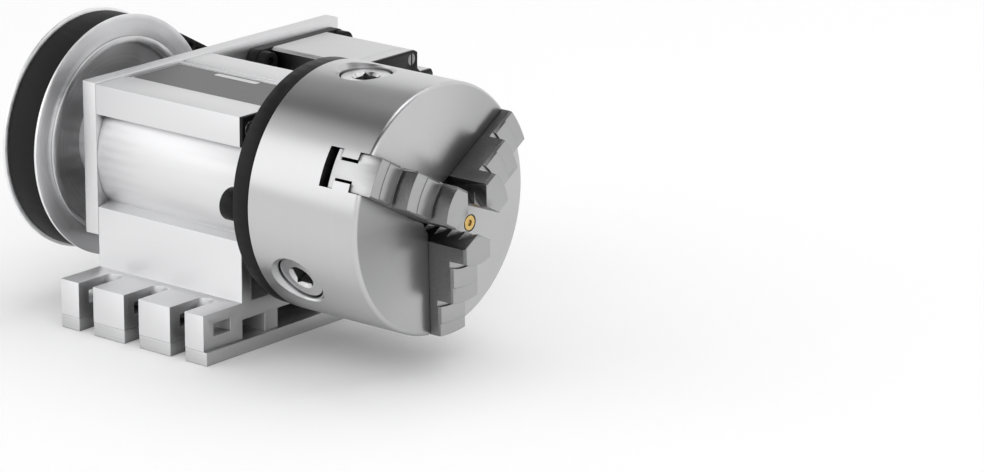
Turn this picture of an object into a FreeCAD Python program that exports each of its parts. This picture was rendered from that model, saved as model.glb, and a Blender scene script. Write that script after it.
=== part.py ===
# Motor-driven dividing head: a slotted aluminium body with a belt-driven spindle and a three-jaw scroll chuck.
# Millimetres. X runs along the spindle towards the chuck, Y towards the motor, Z up.
# The origin is on the underside, below the spindle axis and at the middle pair of bolt slots.
import FreeCAD
import Part
import Sketcher

import math
import os

# Driving dimensions: word, value, meaning.
SIZES = (
    # Body and base
    ("axis_height", 65.0, "spindle axis above the underside"),
    ("body_length", 78.0, "length of the body extrusion"),
    ("base_width", 112.0, "width of base plate and flange"),
    ("base_thick", 5.6, "thickness of the base plate"),
    ("front_step", 1.6, "front cover's thickness, by which the base plate reaches past the body"),
    ("flange_top", 20.3, "top of the slotted flange"),
    ("body_width", 67.5, "width of the body above the flange"),
    ("shelf_drop", 19.8, "outer edge of the ledge under the bearing tube, below the axis"),
    ("shelf_lean", 1.4, "how much higher the inner edge of that ledge is"),
    ("hood_rise", 18.7, "lower edge of the top block, above the axis"),
    ("hood_height", 12.3, "height of the top block"),
    ("wall_thick", 5.6, "side walls of the two lower cavities"),
    ("web_thick", 4.6, "central web between the cavities"),
    ("cavity_shoulder", 8.0, "where the cavity's outer wall leans in, below the ledge"),
    ("slot_pitch", 25.0, "distance between bolt slots"),
    ("slot_width", 8.0, "width of a bolt slot"),
    ("slot_inner", 36.7, "inner end of the bolt slots from the middle"),
    ("channel_top", 13.4, "roof of the channels in the underside"),
    ("channel_mid", 26.2, "width of the middle channel"),
    ("channel_leg", 7.5, "width of the legs beside it"),
    ("channel_side", 13.0, "width of the outer channels"),
    ("core_low", 10.8, "floor of the hollow in each flange"),
    ("core_high", 16.0, "roof of that hollow"),
    ("core_in", 40.5, "inner side of that hollow"),
    ("core_out", 50.2, "outer side of that hollow"),
    ("lip_half", 17.8, "half width of the step beside the label channel"),
    ("lip_deep", 0.5, "depth of that step"),
    ("label_half", 14.8, "half width of the label channel"),
    ("label_deep", 1.3, "depth of the label channel"),
    ("label_thick", 0.6, "thickness of the label plate"),
    # Screws in the body
    ("port_y", 28.5, "upper screw ports from the middle"),
    ("port_rise", 25.0, "upper screw ports above the axis"),
    ("port_radius", 2.1, "radius of the upper ports"),
    ("port_head_radius", 4.1, "head radius of the screws in the end plate's upper ports"),
    ("cover_head_radius", 3.7, "head radius of the front cover's screws"),
    ("cover_head_deep", 1.2, "head height of the front cover's screws"),
    ("low_port_drop", 27.0, "lower screw ports below the axis"),
    ("low_port_radius", 1.25, "radius of the lower ports"),
    ("low_head_radius", 2.75, "head radius of the screws in the lower ports"),
    ("port_head_height", 4.0, "head height of the end plate's screws"),
    ("port_head_sunk", 0.5, "how far those heads are sunk"),
    ("base_screw_x", 28.0, "base screws from the middle, along X"),
    ("base_screw_radius", 1.65, "core radius of the base screws"),
    ("base_screw_length", 12.0, "length of the base screws"),
    ("base_head_radius", 4.0, "head radius of the base screws"),
    # Bearings
    ("bearing_outer", 55.0, "bearing outside diameter"),
    ("bearing_bore", 30.0, "bearing bore diameter"),
    ("bearing_width", 13.0, "bearing width"),
    ("bearing_set_in", 1.0, "how far the bearings sit inside the body's ends"),
    ("ring_thick", 4.0, "thickness of the bearing rings"),
    ("seal_thick", 1.2, "thickness of the bearing seals"),
    ("seal_gap", 0.3, "running gap under the seals"),
    ("outer_sleeve_thick", 3.5, "wall of the sleeve between the outer rings"),
    ("inner_sleeve_thick", 2.5, "wall of the sleeve between the inner rings"),
    # Spindle and adapter
    ("spindle_bore", 20.0, "diameter of the spindle's through bore"),
    ("shoulder_radius", 18.5, "shoulder that seats on the front bearing"),
    ("shaft_gap", 0.1, "running gap round the shoulder in the front cover"),
    ("flange_gap", 2.0, "gap between front cover and spindle flange"),
    ("flange_thick", 6.7, "thickness of the spindle flange"),
    ("flange_radius", 33.0, "radius of the spindle flange"),
    ("nose_radius", 20.0, "centring nose on the spindle flange"),
    ("nose_length", 3.5, "length of the nose"),
    ("adapter_radius", 49.5, "radius of the chuck adapter"),
    ("adapter_thick", 8.2, "thickness of the chuck adapter"),
    ("seat_gap_radius", 47.2, "radius of the shadow groove where adapter and chuck meet"),
    ("seat_gap_width", 0.4, "width of that groove on each side"),
    ("register_radius", 36.0, "register that centres the chuck"),
    ("register_length", 2.8, "length of the register"),
    ("adapter_screw_radius", 27.0, "circle of the adapter screws"),
    # Chuck
    ("chuck_clock", 32.0, "angle of the first jaw from +Y"),
    ("chuck_radius", 50.0, "radius of the chuck body"),
    ("chuck_length", 55.1, "length of the chuck body"),
    ("chuck_edge", 1.8, "rounding of the chuck's front edge"),
    ("chuck_bore", 11.0, "radius of the chuck's bore"),
    ("hub_radius", 16.0, "hub that the scroll turns on"),
    ("cover_thick", 3.5, "thickness of the chuck's back cover"),
    ("bolt_circle", 42.0, "radius of the chuck bolt circle"),
    ("bolt_radius", 4.0, "radius of the chuck bolts"),
    ("bolt_head_radius", 6.5, "head radius of the chuck bolts"),
    ("bolt_head_length", 8.0, "head height of the chuck bolts"),
    ("bolt_reach", 12.0, "thread length in the chuck body"),
    ("bolt_socket", 6.0, "width of the bolts' hexagon sockets"),
    ("bolt_socket_turn", 30.0, "angle of a corner of those sockets"),
    # Jaws and slots, measured back from the chuck's face
    ("head_floor", 20.5, "floor of the jaw slot's head"),
    ("head_roof", 13.9, "roof of that head"),
    ("rail_front", 5.8, "front of the guide rails"),
    ("jaw_width", 16.0, "width of a jaw"),
    ("jaw_gap", 0.08, "running gap at the jaw's guides"),
    ("slot_neck", 9.6, "width between the guide rails"),
    ("jaw_waist", 7.3, "width of a jaw between its guide grooves"),
    ("foot_rear", 16.8, "rear of the jaw's foot"),
    ("jaw_apex", 6.4, "tip of a jaw from the axis"),
    ("jaw_outer", 49.3, "outer end of a jaw from the axis"),
    ("riser_inner", 18.6, "inner riser from the axis"),
    ("riser_outer", 34.9, "outer riser from the axis"),
    ("tread_low", 5.1, "outer tread, proud of the face"),
    ("tread_rise", 6.7, "height of each jaw step"),
    ("relief_width", 2.4, "width of the relief groove at each riser"),
    ("relief_deep", 1.2, "depth of that groove"),
    ("tread_drop", 0.3, "how far the outer part of a tread lies lower"),
    ("middle_split", 28.7, "where the middle tread drops, from the axis"),
    ("outer_split", 44.3, "where the outer tread drops, from the axis"),
    ("jaw_chamfer", 0.9, "chamfer along the sides of the treads"),
    ("grip_pitch", 6.1, "pitch of the saw teeth on a jaw's tip"),
    ("grip_deep", 2.4, "depth of those saw teeth"),
    ("scroll_tooth", 2.0, "thickness of a jaw's scroll teeth"),
    ("scroll_tooth_half", 4.0, "half width of those teeth"),
    ("scroll_tooth_round", 24.0, "radius of their faces"),
    ("scroll_tooth_gap", 0.3, "gap between those teeth and the scroll's disc"),
    # Pinions
    ("pinion_back", 36.3, "pinion axis behind the chuck's face"),
    ("pinion_radius", 10.5, "radius of a pinion's shank"),
    ("pinion_gap", 0.06, "running gap round a pinion"),
    ("pinion_chamfer", 0.8, "chamfer round a pinion's outer end"),
    ("pinion_sunk", 2.6, "how far a pinion is sunk below the chuck's rim"),
    ("pinion_mouth", 12.6, "radius of the countersink round a pinion"),
    ("socket_width", 8.0, "width of the square socket"),
    ("socket_deep", 11.0, "depth of the square socket"),
    ("socket_mouth", 5.75, "radius of the socket's round chamfer"),
    ("gear_inner", 24.0, "inner end of the pinion from the chuck's axis"),
    ("gear_outer", 33.0, "where the gear's tips reach their full radius, and the tooth sizes below hold"),
    ("crown_teeth", 36.0, "bevel teeth on the scroll"),
    ("pinion_teeth", 10.0, "bevel teeth on a pinion"),
    ("gear_tip", 1.1, "height of a tooth above its pitch line"),
    ("gear_root", 1.5, "depth of a tooth below its pitch line"),
    ("gear_share", 0.4, "share of the pitch that a tooth fills"),
    ("gear_flank", 0.4, "how much a flank leans for each unit of height"),
    ("pin_radius", 2.0, "radius of the pins that hold the pinions"),
    ("pin_circle", 40.5, "radius of the circle of those pins"),
    ("pin_groove", 2.0, "depth of the groove in the pinion"),
    # Scroll
    ("scroll_gap", 0.08, "running gap round the scroll"),
    ("scroll_pitch", 5.0, "pitch of the scroll's thread"),
    ("scroll_land", 2.4, "width of that thread"),
    ("scroll_thread_gap", 0.4, "gap between thread and chuck body"),
    ("scroll_first", 18.5, "first jaw's inmost scroll tooth from the axis"),
    ("scroll_sleeve", 3.5, "wall of the scroll's sleeve"),
    ("oiler_radius", 3.0, "radius of the oiler"),
    ("oiler_circle", 19.9, "oiler from the chuck's axis"),
    ("oiler_ring_wide", 0.55, "width of the groove round the oiler"),
    ("oiler_ring_deep", 0.8, "depth of that groove"),
    ("oiler_deep", 8.0, "depth of the oiler"),
    # Belt drive
    ("belt_pitch", 5.0, "tooth pitch of the belt"),
    ("belt_length", 360.0, "pitch length of the belt"),
    ("belt_width", 15.0, "width of the belt"),
    ("large_teeth", 60.0, "teeth on the spindle pulley"),
    ("small_teeth", 10.0, "teeth on the motor pulley"),
    ("tip_drop", 0.57, "tooth tips below the pitch line"),
    ("back_rise", 1.13, "belt's back above the pitch line"),
    ("belt_clearance", 0.05, "gap between belt and tooth tips"),
    ("tooth_deep", 2.06, "depth of a tooth space"),
    ("rim_width", 15.9, "width between the pulley flanges"),
    ("pulley_gap", 11.2, "gap between end plate and spindle pulley"),
    ("pulley_flange_radius", 50.0, "radius of the spindle pulley's flanges"),
    ("pulley_flange_thick", 1.2, "thickness of those flanges"),
    ("pulley_flange_flare", 0.4, "how far their rims lean outwards"),
    ("rim_inner", 38.5, "inside radius of the pulley's rim"),
    ("rim_seat", 41.0, "radius of the seat of the pulley's flanges"),
    ("rim_bead", 0.6, "how far the rolled bead stands past the flange"),
    ("hub_outer", 22.0, "radius of the pulley's hub"),
    ("hub_front", 5.2, "hub in front of the pulley"),
    ("hub_rear", 1.0, "hub behind the pulley"),
    ("pulley_web", 9.0, "thickness of the pulley's web"),
    ("web_set_in", 2.0, "how far the web sits behind the front of the pulley's rim"),
    ("collar_radius", 19.0, "radius of the spacer in front of the pulley"),
    ("nut_radius", 20.0, "radius of the lock nut"),
    ("nut_thick", 7.0, "thickness of the lock nut"),
    # End plate and motor
    ("plate_thick", 7.0, "thickness of the end plate"),
    ("plate_half", 31.6, "half height of the end plate"),
    ("plate_left", 34.0, "end plate's side at the body"),
    ("plate_past_motor", 1.1, "end plate past the motor's far side"),
    ("plate_bore", 20.5, "radius of the hole round the spindle"),
    ("motor_width", 56.4, "width of the motor"),
    ("motor_flange_thick", 4.8, "thickness of the motor's flange"),
    ("motor_flange_round", 4.5, "corner radius of that flange"),
    ("motor_pilot", 19.05, "radius of the motor's centring pilot"),
    ("motor_pilot_length", 1.6, "length of the pilot"),
    ("motor_hole_inset", 4.63, "motor's mounting holes from its sides"),
    ("motor_hole_radius", 2.55, "radius of those holes"),
    ("stack_length", 41.0, "length of the laminated stack"),
    ("bell_length", 6.6, "length of the motor's rear bell"),
    ("cap_thick", 1.3, "thickness of the motor's rear cap"),
    ("arm_inset", 11.7, "motor's flat sides stop this far from its corners"),
    ("notch_deep", 7.9, "depth of the notches at the motor's corners"),
    ("rotor_radius", 14.5, "radius of the motor's rotor"),
    ("rotor_gap", 0.3, "running gap round the rotor"),
    ("rotor_end_gap", 2.0, "space before and behind the rotor"),
    ("notch_round", 2.0, "how far the notch widens towards its mouth"),
    ("motor_shaft_radius", 4.0, "radius of the motor shaft"),
    ("motor_shaft_end", 2.0, "shaft end inside the small pulley"),
    ("small_flange_radius", 11.2, "radius of the small pulley's flanges"),
    ("small_hub_radius", 8.5, "radius of the small pulley's hub"),
    ("small_hub_length", 7.0, "length of the small pulley's hub"),
    ("set_screw_radius", 2.0, "radius of the set screws"),
    ("mount_screw_radius", 2.5, "radius of the motor's mounting screws"),
    ("mount_head_radius", 4.25, "head radius of those screws"),
    ("mount_head_length", 5.0, "head height of those screws"),
    ("tie_screw_side", 1.5, "motor tie screws from the end of its flat sides"),
    ("tie_screw_inset", 3.7, "the same screws from the motor's side"),
    ("tie_screw_radius", 1.5, "radius of the tie screws"),
)

CHUCK_STATIONS = 3
JAW_STEP = 120
GRIP_TEETH = 4
SCROLL_TEETH = 4
SCROLL_QUARTERS = range(3, 15)


class Size:
    """A number together with the sheet expression that gives it."""

    def __init__(self, value, text):
        self.value = float(value)
        self.text = text

    def __add__(self, other):
        other = size(other)
        return Size(self.value + other.value, f"({self.text} + {other.text})")

    def __sub__(self, other):
        other = size(other)
        return Size(self.value - other.value, f"({self.text} - {other.text})")

    def __mul__(self, other):
        other = size(other)
        return Size(self.value * other.value, f"({self.text} * {other.text})")

    def __truediv__(self, other):
        other = size(other)
        return Size(self.value / other.value, f"({self.text} / {other.text})")

    def __neg__(self):
        return Size(-self.value, f"(0 - {self.text})")

    def __radd__(self, other):
        return size(other) + self

    def __rsub__(self, other):
        return size(other) - self

    def __rmul__(self, other):
        return size(other) * self


def size(value):
    """A plain number as a Size."""
    if isinstance(value, Size):
        return value
    return Size(value, repr(float(value)))


def root(value):
    """Square root of a Size."""
    return Size(math.sqrt(value.value), f"sqrt({value.text})")


def cosine(degrees):
    """Cosine of a Size in degrees."""
    degrees = size(degrees)
    return Size(math.cos(math.radians(degrees.value)), f"cos({degrees.text})")


def sine(degrees):
    """Sine of a Size in degrees."""
    degrees = size(degrees)
    return Size(math.sin(math.radians(degrees.value)), f"sin({degrees.text})")


def leg(hypotenuse, side):
    """The other short side of a right triangle."""
    return root(hypotenuse * hypotenuse - side * side)


def make_sheet(doc):
    """The document's sheet of driving dimensions, and each of them as a Size."""
    sheet = doc.addObject("Spreadsheet::Sheet", "Sizes")
    named = {}
    for row, (word, value, meaning) in enumerate(SIZES, start=1):
        sheet.set(f"A{row}", meaning)
        sheet.set(f"B{row}", str(value))
        sheet.setAlias(f"B{row}", word)
        named[word] = Size(value, f"Sizes.{word}")
    doc.recompute()
    return named


doc = FreeCAD.newDocument("DividingHead")
S = make_sheet(doc)

# Stations along the spindle
body_front = S["body_length"] / 2
body_rear = -body_front
cover_front = body_front + S["front_step"]
flange_rear = cover_front + S["flange_gap"]
adapter_rear = flange_rear + S["flange_thick"]
chuck_rear = adapter_rear + S["adapter_thick"]
chuck_face = chuck_rear + S["chuck_length"]
plate_rear = body_rear - S["plate_thick"]
front_bearing_end = body_front - S["bearing_set_in"]
rear_bearing_end = body_rear + S["bearing_set_in"]
pulley_front = plate_rear - S["pulley_gap"]
rim_front = pulley_front - S["pulley_flange_thick"] - S["pulley_flange_flare"]
rim_rear = rim_front - S["rim_width"]
pulley_rear = rim_rear - S["pulley_flange_thick"] - S["pulley_flange_flare"]
hub_front = pulley_front + S["hub_front"]
hub_rear = pulley_rear - S["hub_rear"]
nut_rear = hub_rear - S["nut_thick"]
spindle_rear = nut_rear - 1

# Heights that follow the axis
shelf_low = S["axis_height"] - S["shelf_drop"]
shelf_high = shelf_low + S["shelf_lean"]
hood_low = S["axis_height"] + S["hood_rise"]
hood_top = hood_low + S["hood_height"]
port_z = S["axis_height"] + S["port_rise"]
low_port_z = S["axis_height"] - S["low_port_drop"]
plate_low = S["axis_height"] - S["plate_half"]
plate_top = S["axis_height"] + S["plate_half"]

# Radii that other sizes give
bore_radius = S["bearing_outer"] / 2
journal_radius = S["bearing_bore"] / 2
tube_radius = S["body_width"] / 2
register_end = chuck_rear + S["register_length"]
cavity_floor = chuck_face - S["foot_rear"]
jaw_rear = cavity_floor + S["jaw_gap"]
jaw_high = chuck_face + S["tread_low"] + 2 * S["tread_rise"]
scroll_front = chuck_face - S["head_floor"] - 0.1
large_pitch_radius = S["large_teeth"] * S["belt_pitch"] / (2 * math.pi)
small_pitch_radius = S["small_teeth"] * S["belt_pitch"] / (2 * math.pi)


def shaft_distance():
    """Distance between spindle and motor shaft, from the belt's length."""
    straight = S["belt_length"] - math.pi * (large_pitch_radius + small_pitch_radius)
    difference = large_pitch_radius - small_pitch_radius
    return (straight + root(straight * straight - 8 * difference * difference)) / 4


motor_y = shaft_distance()
motor_half = S["motor_width"] / 2
motor_hole = motor_half - S["motor_hole_inset"]


def origin_feature(body, role):
    """A body's own origin plane or axis."""
    for feature in body.Origin.OriginFeatures:
        if feature.Role == role:
            return feature
    raise ValueError(role)


def new_body(label, y=None, z=None, turn=None):
    """A body for one piece, moved to its axis and turned about X."""
    body = doc.addObject("PartDesign::Body", label)
    body.Label = label
    body.Placement = FreeCAD.Placement(FreeCAD.Vector(), FreeCAD.Rotation(FreeCAD.Vector(1, 0, 0), 1))
    body.setExpression("Placement.Rotation.Angle", f"{size(turn or 0).text} * 1deg")
    if y is not None:
        body.setExpression("Placement.Base.y", y.text)
    if z is not None:
        body.setExpression("Placement.Base.z", z.text)
    return body


def on_spindle(label):
    """A body on the spindle axis."""
    return new_body(label, z=S["axis_height"])


def on_chuck(label, angle=0):
    """A body on the chuck's axis, turned from the first jaw by an angle."""
    return new_body(label, z=S["axis_height"], turn=S["chuck_clock"] + angle)


def on_motor(label):
    """A body on the motor's axis."""
    return new_body(label, y=motor_y, z=S["axis_height"])


def new_sketch(body, role, offset=0):
    """A sketch on one of the body's planes, moved along X, Y or Z."""
    sketch = body.newObject("Sketcher::SketchObject", f"{body.Name}_sketch")
    sketch.AttachmentSupport = [(origin_feature(body, role), "")]
    sketch.MapMode = "FlatFace"
    offset = -size(offset) if role == "XZ_Plane" else size(offset)
    sketch.setExpression("AttachmentOffset.Base.z", offset.text)
    return sketch


def tie(sketch, kind, *fields):
    """A dimension held by the sheet: the last field is its Size."""
    value = fields[-1]
    row = sketch.addConstraint(Sketcher.Constraint(kind, *fields[:-1], value.value))
    sketch.setExpression(f"Constraints[{row}]", value.text)


def draw_loop(sketch, corners, arcs=None):
    """A closed outline. arcs gives, by corner number, the centre, radius and turn of the edge that leaves it."""
    arcs = arcs or {}
    corners = [(size(u), size(v)) for u, v in corners]
    points = [FreeCAD.Vector(u.value, v.value, 0) for u, v in corners]
    edges = []
    for here, point in enumerate(points):
        after = points[(here + 1) % len(points)]
        if here not in arcs:
            edges.append((sketch.addGeometry(Part.LineSegment(point, after), False), 1, 2))
            continue
        centre_u, centre_v, radius, turn = arcs[here]
        centre = FreeCAD.Vector(size(centre_u).value, size(centre_v).value, 0)
        circle = Part.Circle(centre, FreeCAD.Vector(0, 0, 1), size(radius).value)
        start, end = (point, after) if turn > 0 else (after, point)
        angles = [math.atan2(p.y - centre.y, p.x - centre.x) for p in (start, end)]
        edge = sketch.addGeometry(Part.ArcOfCircle(circle, *angles), False)
        edges.append((edge, 1, 2) if turn > 0 else (edge, 2, 1))
    for here, (edge, _, last) in enumerate(edges):
        following, first, _ = edges[(here + 1) % len(edges)]
        sketch.addConstraint(Sketcher.Constraint("Coincident", edge, last, following, first))
    for here, ((edge, first, _), (u, v)) in enumerate(zip(edges, corners)):
        arc_before = arcs.get((here - 1) % len(corners))
        across = up = True
        if arc_before:
            up = abs(u.value - size(arc_before[0]).value) > abs(v.value - size(arc_before[1]).value)
            across = not up
        if across:
            tie(sketch, "DistanceX", -1, 1, edge, first, u)
        if up:
            tie(sketch, "DistanceY", -1, 1, edge, first, v)
    for here, (centre_u, centre_v, _, _) in arcs.items():
        tie(sketch, "DistanceX", -1, 1, edges[here][0], 3, size(centre_u))
        tie(sketch, "DistanceY", -1, 1, edges[here][0], 3, size(centre_v))


def draw_circle(sketch, u, v, radius):
    """A circle held at its centre."""
    u, v, radius = size(u), size(v), size(radius)
    circle = Part.Circle(FreeCAD.Vector(u.value, v.value, 0), FreeCAD.Vector(0, 0, 1), radius.value)
    edge = sketch.addGeometry(circle, False)
    tie(sketch, "DistanceX", -1, 1, edge, 3, u)
    tie(sketch, "DistanceY", -1, 1, edge, 3, v)
    tie(sketch, "Radius", edge, radius)


def rectangle(low_u, low_v, high_u, high_v):
    """Corners of a rectangle."""
    return [(low_u, low_v), (high_u, low_v), (high_u, high_v), (low_u, high_v)]


def polygon(u, v, across, sides, start):
    """Corners of a regular polygon, from its width across flats."""
    reach = size(across) / 2 / cosine(180 / sides)
    angles = [start + 360 / sides * step for step in range(sides)]
    return [(u + reach * cosine(angle), v + reach * sine(angle)) for angle in angles]


def pad(body, sketch, length, symmetric=False):
    """Extrudes a sketch along its plane's normal."""
    feature = body.newObject("PartDesign::Pad", f"{body.Name}_pad")
    feature.Profile = sketch
    feature.SideType = "Symmetric" if symmetric else "One side"
    feature.setExpression("Length", size(length).text)
    doc.recompute()
    return feature


def revolve(body, sketch, axis="H_Axis", angle=360, symmetric=False):
    """Turns a sketch about one of its own axes."""
    feature = body.newObject("PartDesign::Revolution", f"{body.Name}_turning")
    feature.Profile = sketch
    feature.ReferenceAxis = (sketch, [axis])
    feature.Angle = angle
    feature.Midplane = symmetric
    doc.recompute()
    return feature


def cut(body, sketch, length, forward=True, symmetric=False):
    """Cuts a sketch out of its body along X, Y or Z, and checks that something went."""
    before = body.Shape.Volume
    plane = sketch.AttachmentSupport[0][0].Role
    feature = body.newObject("PartDesign::Pocket", f"{body.Name}_cut")
    feature.Profile = sketch
    feature.SideType = "Symmetric" if symmetric else "One side"
    feature.setExpression("Length", size(length).text)
    feature.Reversed = forward if plane != "XZ_Plane" else not forward
    doc.recompute()
    if before - body.Shape.Volume < 0.01:
        raise ValueError(f"{feature.Label} cuts nothing")
    return feature


def repeat_round(body, feature, count, whole=False, axis=None):
    """Repeats a feature, or the whole piece, round the body's X axis or a line of a sketch."""
    pattern = body.newObject("PartDesign::PolarPattern", f"{body.Name}_pattern")
    if whole:
        pattern.TransformMode = "Whole shape"
    else:
        pattern.Originals = [feature]
    pattern.Axis = axis or (origin_feature(body, "X_Axis"), [""])
    pattern.Angle = 360
    pattern.Occurrences = count
    body.Tip = pattern
    doc.recompute()
    return pattern


def turned(body, corners, arcs=None):
    """A round piece from its half outline, given as (x, radius)."""
    sketch = new_sketch(body, "XZ_Plane")
    draw_loop(sketch, corners, arcs)
    return revolve(body, sketch)


def ring(label, x_low, x_high, inner, outer, make=on_spindle):
    """A plain ring."""
    body = make(label)
    turned(body, rectangle(x_low, inner, x_high, outer))
    return body


def posts(body, role, offset, length, places, radius):
    """Round bars from one plane, one at each place."""
    sketch = new_sketch(body, role, offset)
    for u, v in places:
        draw_circle(sketch, u, v, radius)
    return pad(body, sketch, length)


def holes(body, role, offset, length, places, radius):
    """Round holes from one plane, one at each place, cut towards +X, +Y or +Z."""
    sketch = new_sketch(body, role, offset)
    for u, v in places:
        draw_circle(sketch, u, v, radius)
    return cut(body, sketch, length)


def mirrored(corners):
    """An outline given on +Y, completed on -Y."""
    return corners + [(-size(u), v) for u, v in reversed(corners)]


def slot_outline(x, side):
    """A bolt slot, open to one side, with a round inner end."""
    half = S["slot_width"] / 2
    centre = side * (S["slot_inner"] + half)
    mouth = side * (S["base_width"] / 2 + 1)
    corners = [(x - half, mouth), (x - half, centre), (x + half, centre), (x + half, mouth)]
    return corners, {1: (x, centre, half, side)}


def cut_slots(body, z_low, height):
    """The six bolt slots."""
    sketch = new_sketch(body, "XY_Plane", z_low)
    for step in (-1, 0, 1):
        for side in (-1, 1):
            draw_loop(sketch, *slot_outline(step * S["slot_pitch"], side))
    cut(body, sketch, height)


def make_base_plate():
    """Flat plate under the body, with the six slots and four countersunk holes."""
    body = new_body("base_plate")
    half = S["base_width"] / 2
    sketch = new_sketch(body, "XY_Plane")
    draw_loop(sketch, rectangle(body_rear, -half, cover_front, half))
    pad(body, sketch, S["base_thick"])
    cut_slots(body, 0, S["base_thick"])
    holes(body, "XY_Plane", 0, S["base_thick"], base_screw_places(), S["base_screw_radius"])
    holes(body, "XY_Plane", 0, S["base_head_radius"] - S["base_screw_radius"], base_screw_places(),
          S["base_head_radius"])
    return body


def base_screw_places():
    """Four screws, in the legs beside the middle channel."""
    y = S["channel_mid"] / 2 + S["channel_leg"] / 2
    return [(sx * S["base_screw_x"], sy * y) for sx in (-1, 1) for sy in (-1, 1)]


def make_base_screws():
    """Flat-headed screws from below."""
    body = new_body("base_screws")
    head = S["base_head_radius"] - S["base_screw_radius"]
    posts(body, "XY_Plane", 0, head, base_screw_places(), S["base_head_radius"])
    posts(body, "XY_Plane", 0, S["base_screw_length"], base_screw_places(), S["base_screw_radius"])
    sketch = new_sketch(body, "XY_Plane")
    for u, v in base_screw_places():
        draw_loop(sketch, polygon(u, v, S["base_screw_radius"] * 1.5, 6, 0))
    cut(body, sketch, head)
    return body


def extrusion_outline():
    """Half outline of the body, from the middle of its underside round to the middle of its top."""
    mid = S["channel_mid"] / 2
    leg_out = mid + S["channel_leg"]
    side_out = leg_out + S["channel_side"]
    low = S["base_thick"]
    corners = [
        (mid, S["channel_top"]), (mid, low), (leg_out, low), (leg_out, S["channel_top"]),
        (side_out, S["channel_top"]), (side_out, low), (S["base_width"] / 2, low),
        (S["base_width"] / 2, S["flange_top"]), (tube_radius, S["flange_top"]),
        (tube_radius, shelf_low),
        (leg(tube_radius, S["axis_height"] - shelf_high), shelf_high),
        (leg(tube_radius, hood_low - S["axis_height"]), hood_low),
        (tube_radius, hood_low), (tube_radius, hood_top), (S["lip_half"], hood_top),
        (S["lip_half"], hood_top - S["lip_deep"]), (S["label_half"], hood_top - S["lip_deep"]),
        (S["label_half"], hood_top - S["label_deep"]),
    ]
    right_arc = 10
    left_arc = 2 * len(corners) - 2 - right_arc
    bulge = (0, S["axis_height"], tube_radius, 1)
    return mirrored(corners), {right_arc: bulge, left_arc: bulge}


def cavity_outline(side):
    """One of the two hollows below the bearing tube."""
    web = S["web_thick"] / 2
    wall = tube_radius - S["wall_thick"]
    lean = wall - S["wall_thick"]
    corners = [
        (side * web, S["flange_top"]), (side * wall, S["flange_top"]),
        (side * wall, shelf_low - S["cavity_shoulder"]),
        (side * lean, S["axis_height"] - leg(tube_radius, lean)),
        (side * web, S["axis_height"] - leg(tube_radius, web)),
    ]
    return corners, {3: (0, S["axis_height"], tube_radius, -side)}


def upper_ports():
    """Screw ports in the top block."""
    return [(-S["port_y"], port_z), (S["port_y"], port_z)]


def lower_ports():
    """Screw ports in the side walls."""
    y = tube_radius - S["wall_thick"] / 2
    return [(-y, low_port_z), (y, low_port_z)]


def make_body_extrusion():
    """The aluminium body: slotted flange, two hollows, bearing tube and top block."""
    body = new_body("body_extrusion")
    sketch = new_sketch(body, "YZ_Plane")
    draw_loop(sketch, *extrusion_outline())
    draw_circle(sketch, 0, S["axis_height"], bore_radius)
    for side in (-1, 1):
        draw_loop(sketch, *cavity_outline(side))
        draw_loop(sketch, rectangle(side * S["core_in"], S["core_low"], side * S["core_out"], S["core_high"]))
    for u, v in upper_ports():
        draw_circle(sketch, u, v, S["port_radius"])
    for u, v in lower_ports():
        draw_circle(sketch, u, v, S["low_port_radius"])
    pad(body, sketch, S["body_length"], symmetric=True)
    cut_slots(body, S["base_thick"], S["flange_top"] - S["base_thick"])
    holes(body, "XY_Plane", S["base_thick"], S["base_screw_length"] - S["base_thick"], base_screw_places(),
          S["base_screw_radius"])
    return body


def make_label_plate():
    """Plain plate in the channel of the body's top."""
    body = new_body("label_plate")
    low = hood_top - S["label_deep"]
    sketch = new_sketch(body, "XY_Plane", low)
    edge = S["label_half"] - 0.2
    draw_loop(sketch, rectangle(body_rear + 0.5, -edge, body_front - 0.5, edge))
    pad(body, sketch, S["label_thick"])
    return body


def make_front_cover():
    """Thin black plate that holds the front bearing in."""
    body = new_body("front_cover")
    sketch = new_sketch(body, "YZ_Plane", body_front)
    notch = leg(tube_radius, hood_low - S["axis_height"])
    corners = mirrored([(notch, hood_low), (tube_radius, hood_low), (tube_radius, hood_top)])
    last = len(corners) - 1
    draw_loop(sketch, corners, {last: (0, S["axis_height"], tube_radius, 1)})
    pad(body, sketch, S["front_step"])
    pilot = new_sketch(body, "YZ_Plane", front_bearing_end)
    draw_circle(pilot, 0, S["axis_height"], bore_radius - 0.05)
    pad(body, pilot, S["bearing_set_in"])
    gap = new_sketch(body, "YZ_Plane", front_bearing_end)
    draw_circle(gap, 0, S["axis_height"], bore_radius - S["ring_thick"])
    cut(body, gap, S["bearing_set_in"])
    shaft = new_sketch(body, "YZ_Plane", body_front)
    draw_circle(shaft, 0, S["axis_height"], S["shoulder_radius"] + S["shaft_gap"])
    cut(body, shaft, S["front_step"])
    holes(body, "YZ_Plane", body_front, S["front_step"], upper_ports(), S["port_radius"])
    sunk = S["cover_head_deep"]
    holes(body, "YZ_Plane", cover_front - sunk, sunk, upper_ports(), S["cover_head_radius"])
    return body


def make_front_cover_screws():
    """Two flush screws through the cover into the upper ports."""
    body = new_body("front_cover_screws")
    posts(body, "YZ_Plane", cover_front - 10, 10, upper_ports(), S["port_radius"])
    sunk = S["cover_head_deep"]
    posts(body, "YZ_Plane", cover_front - sunk, sunk, upper_ports(), S["cover_head_radius"])
    sketch = new_sketch(body, "YZ_Plane", cover_front - 1.0)
    for u, v in upper_ports():
        draw_loop(sketch, polygon(u, v, 2.5, 6, 0))
    cut(body, sketch, 1.0)
    return body


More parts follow.
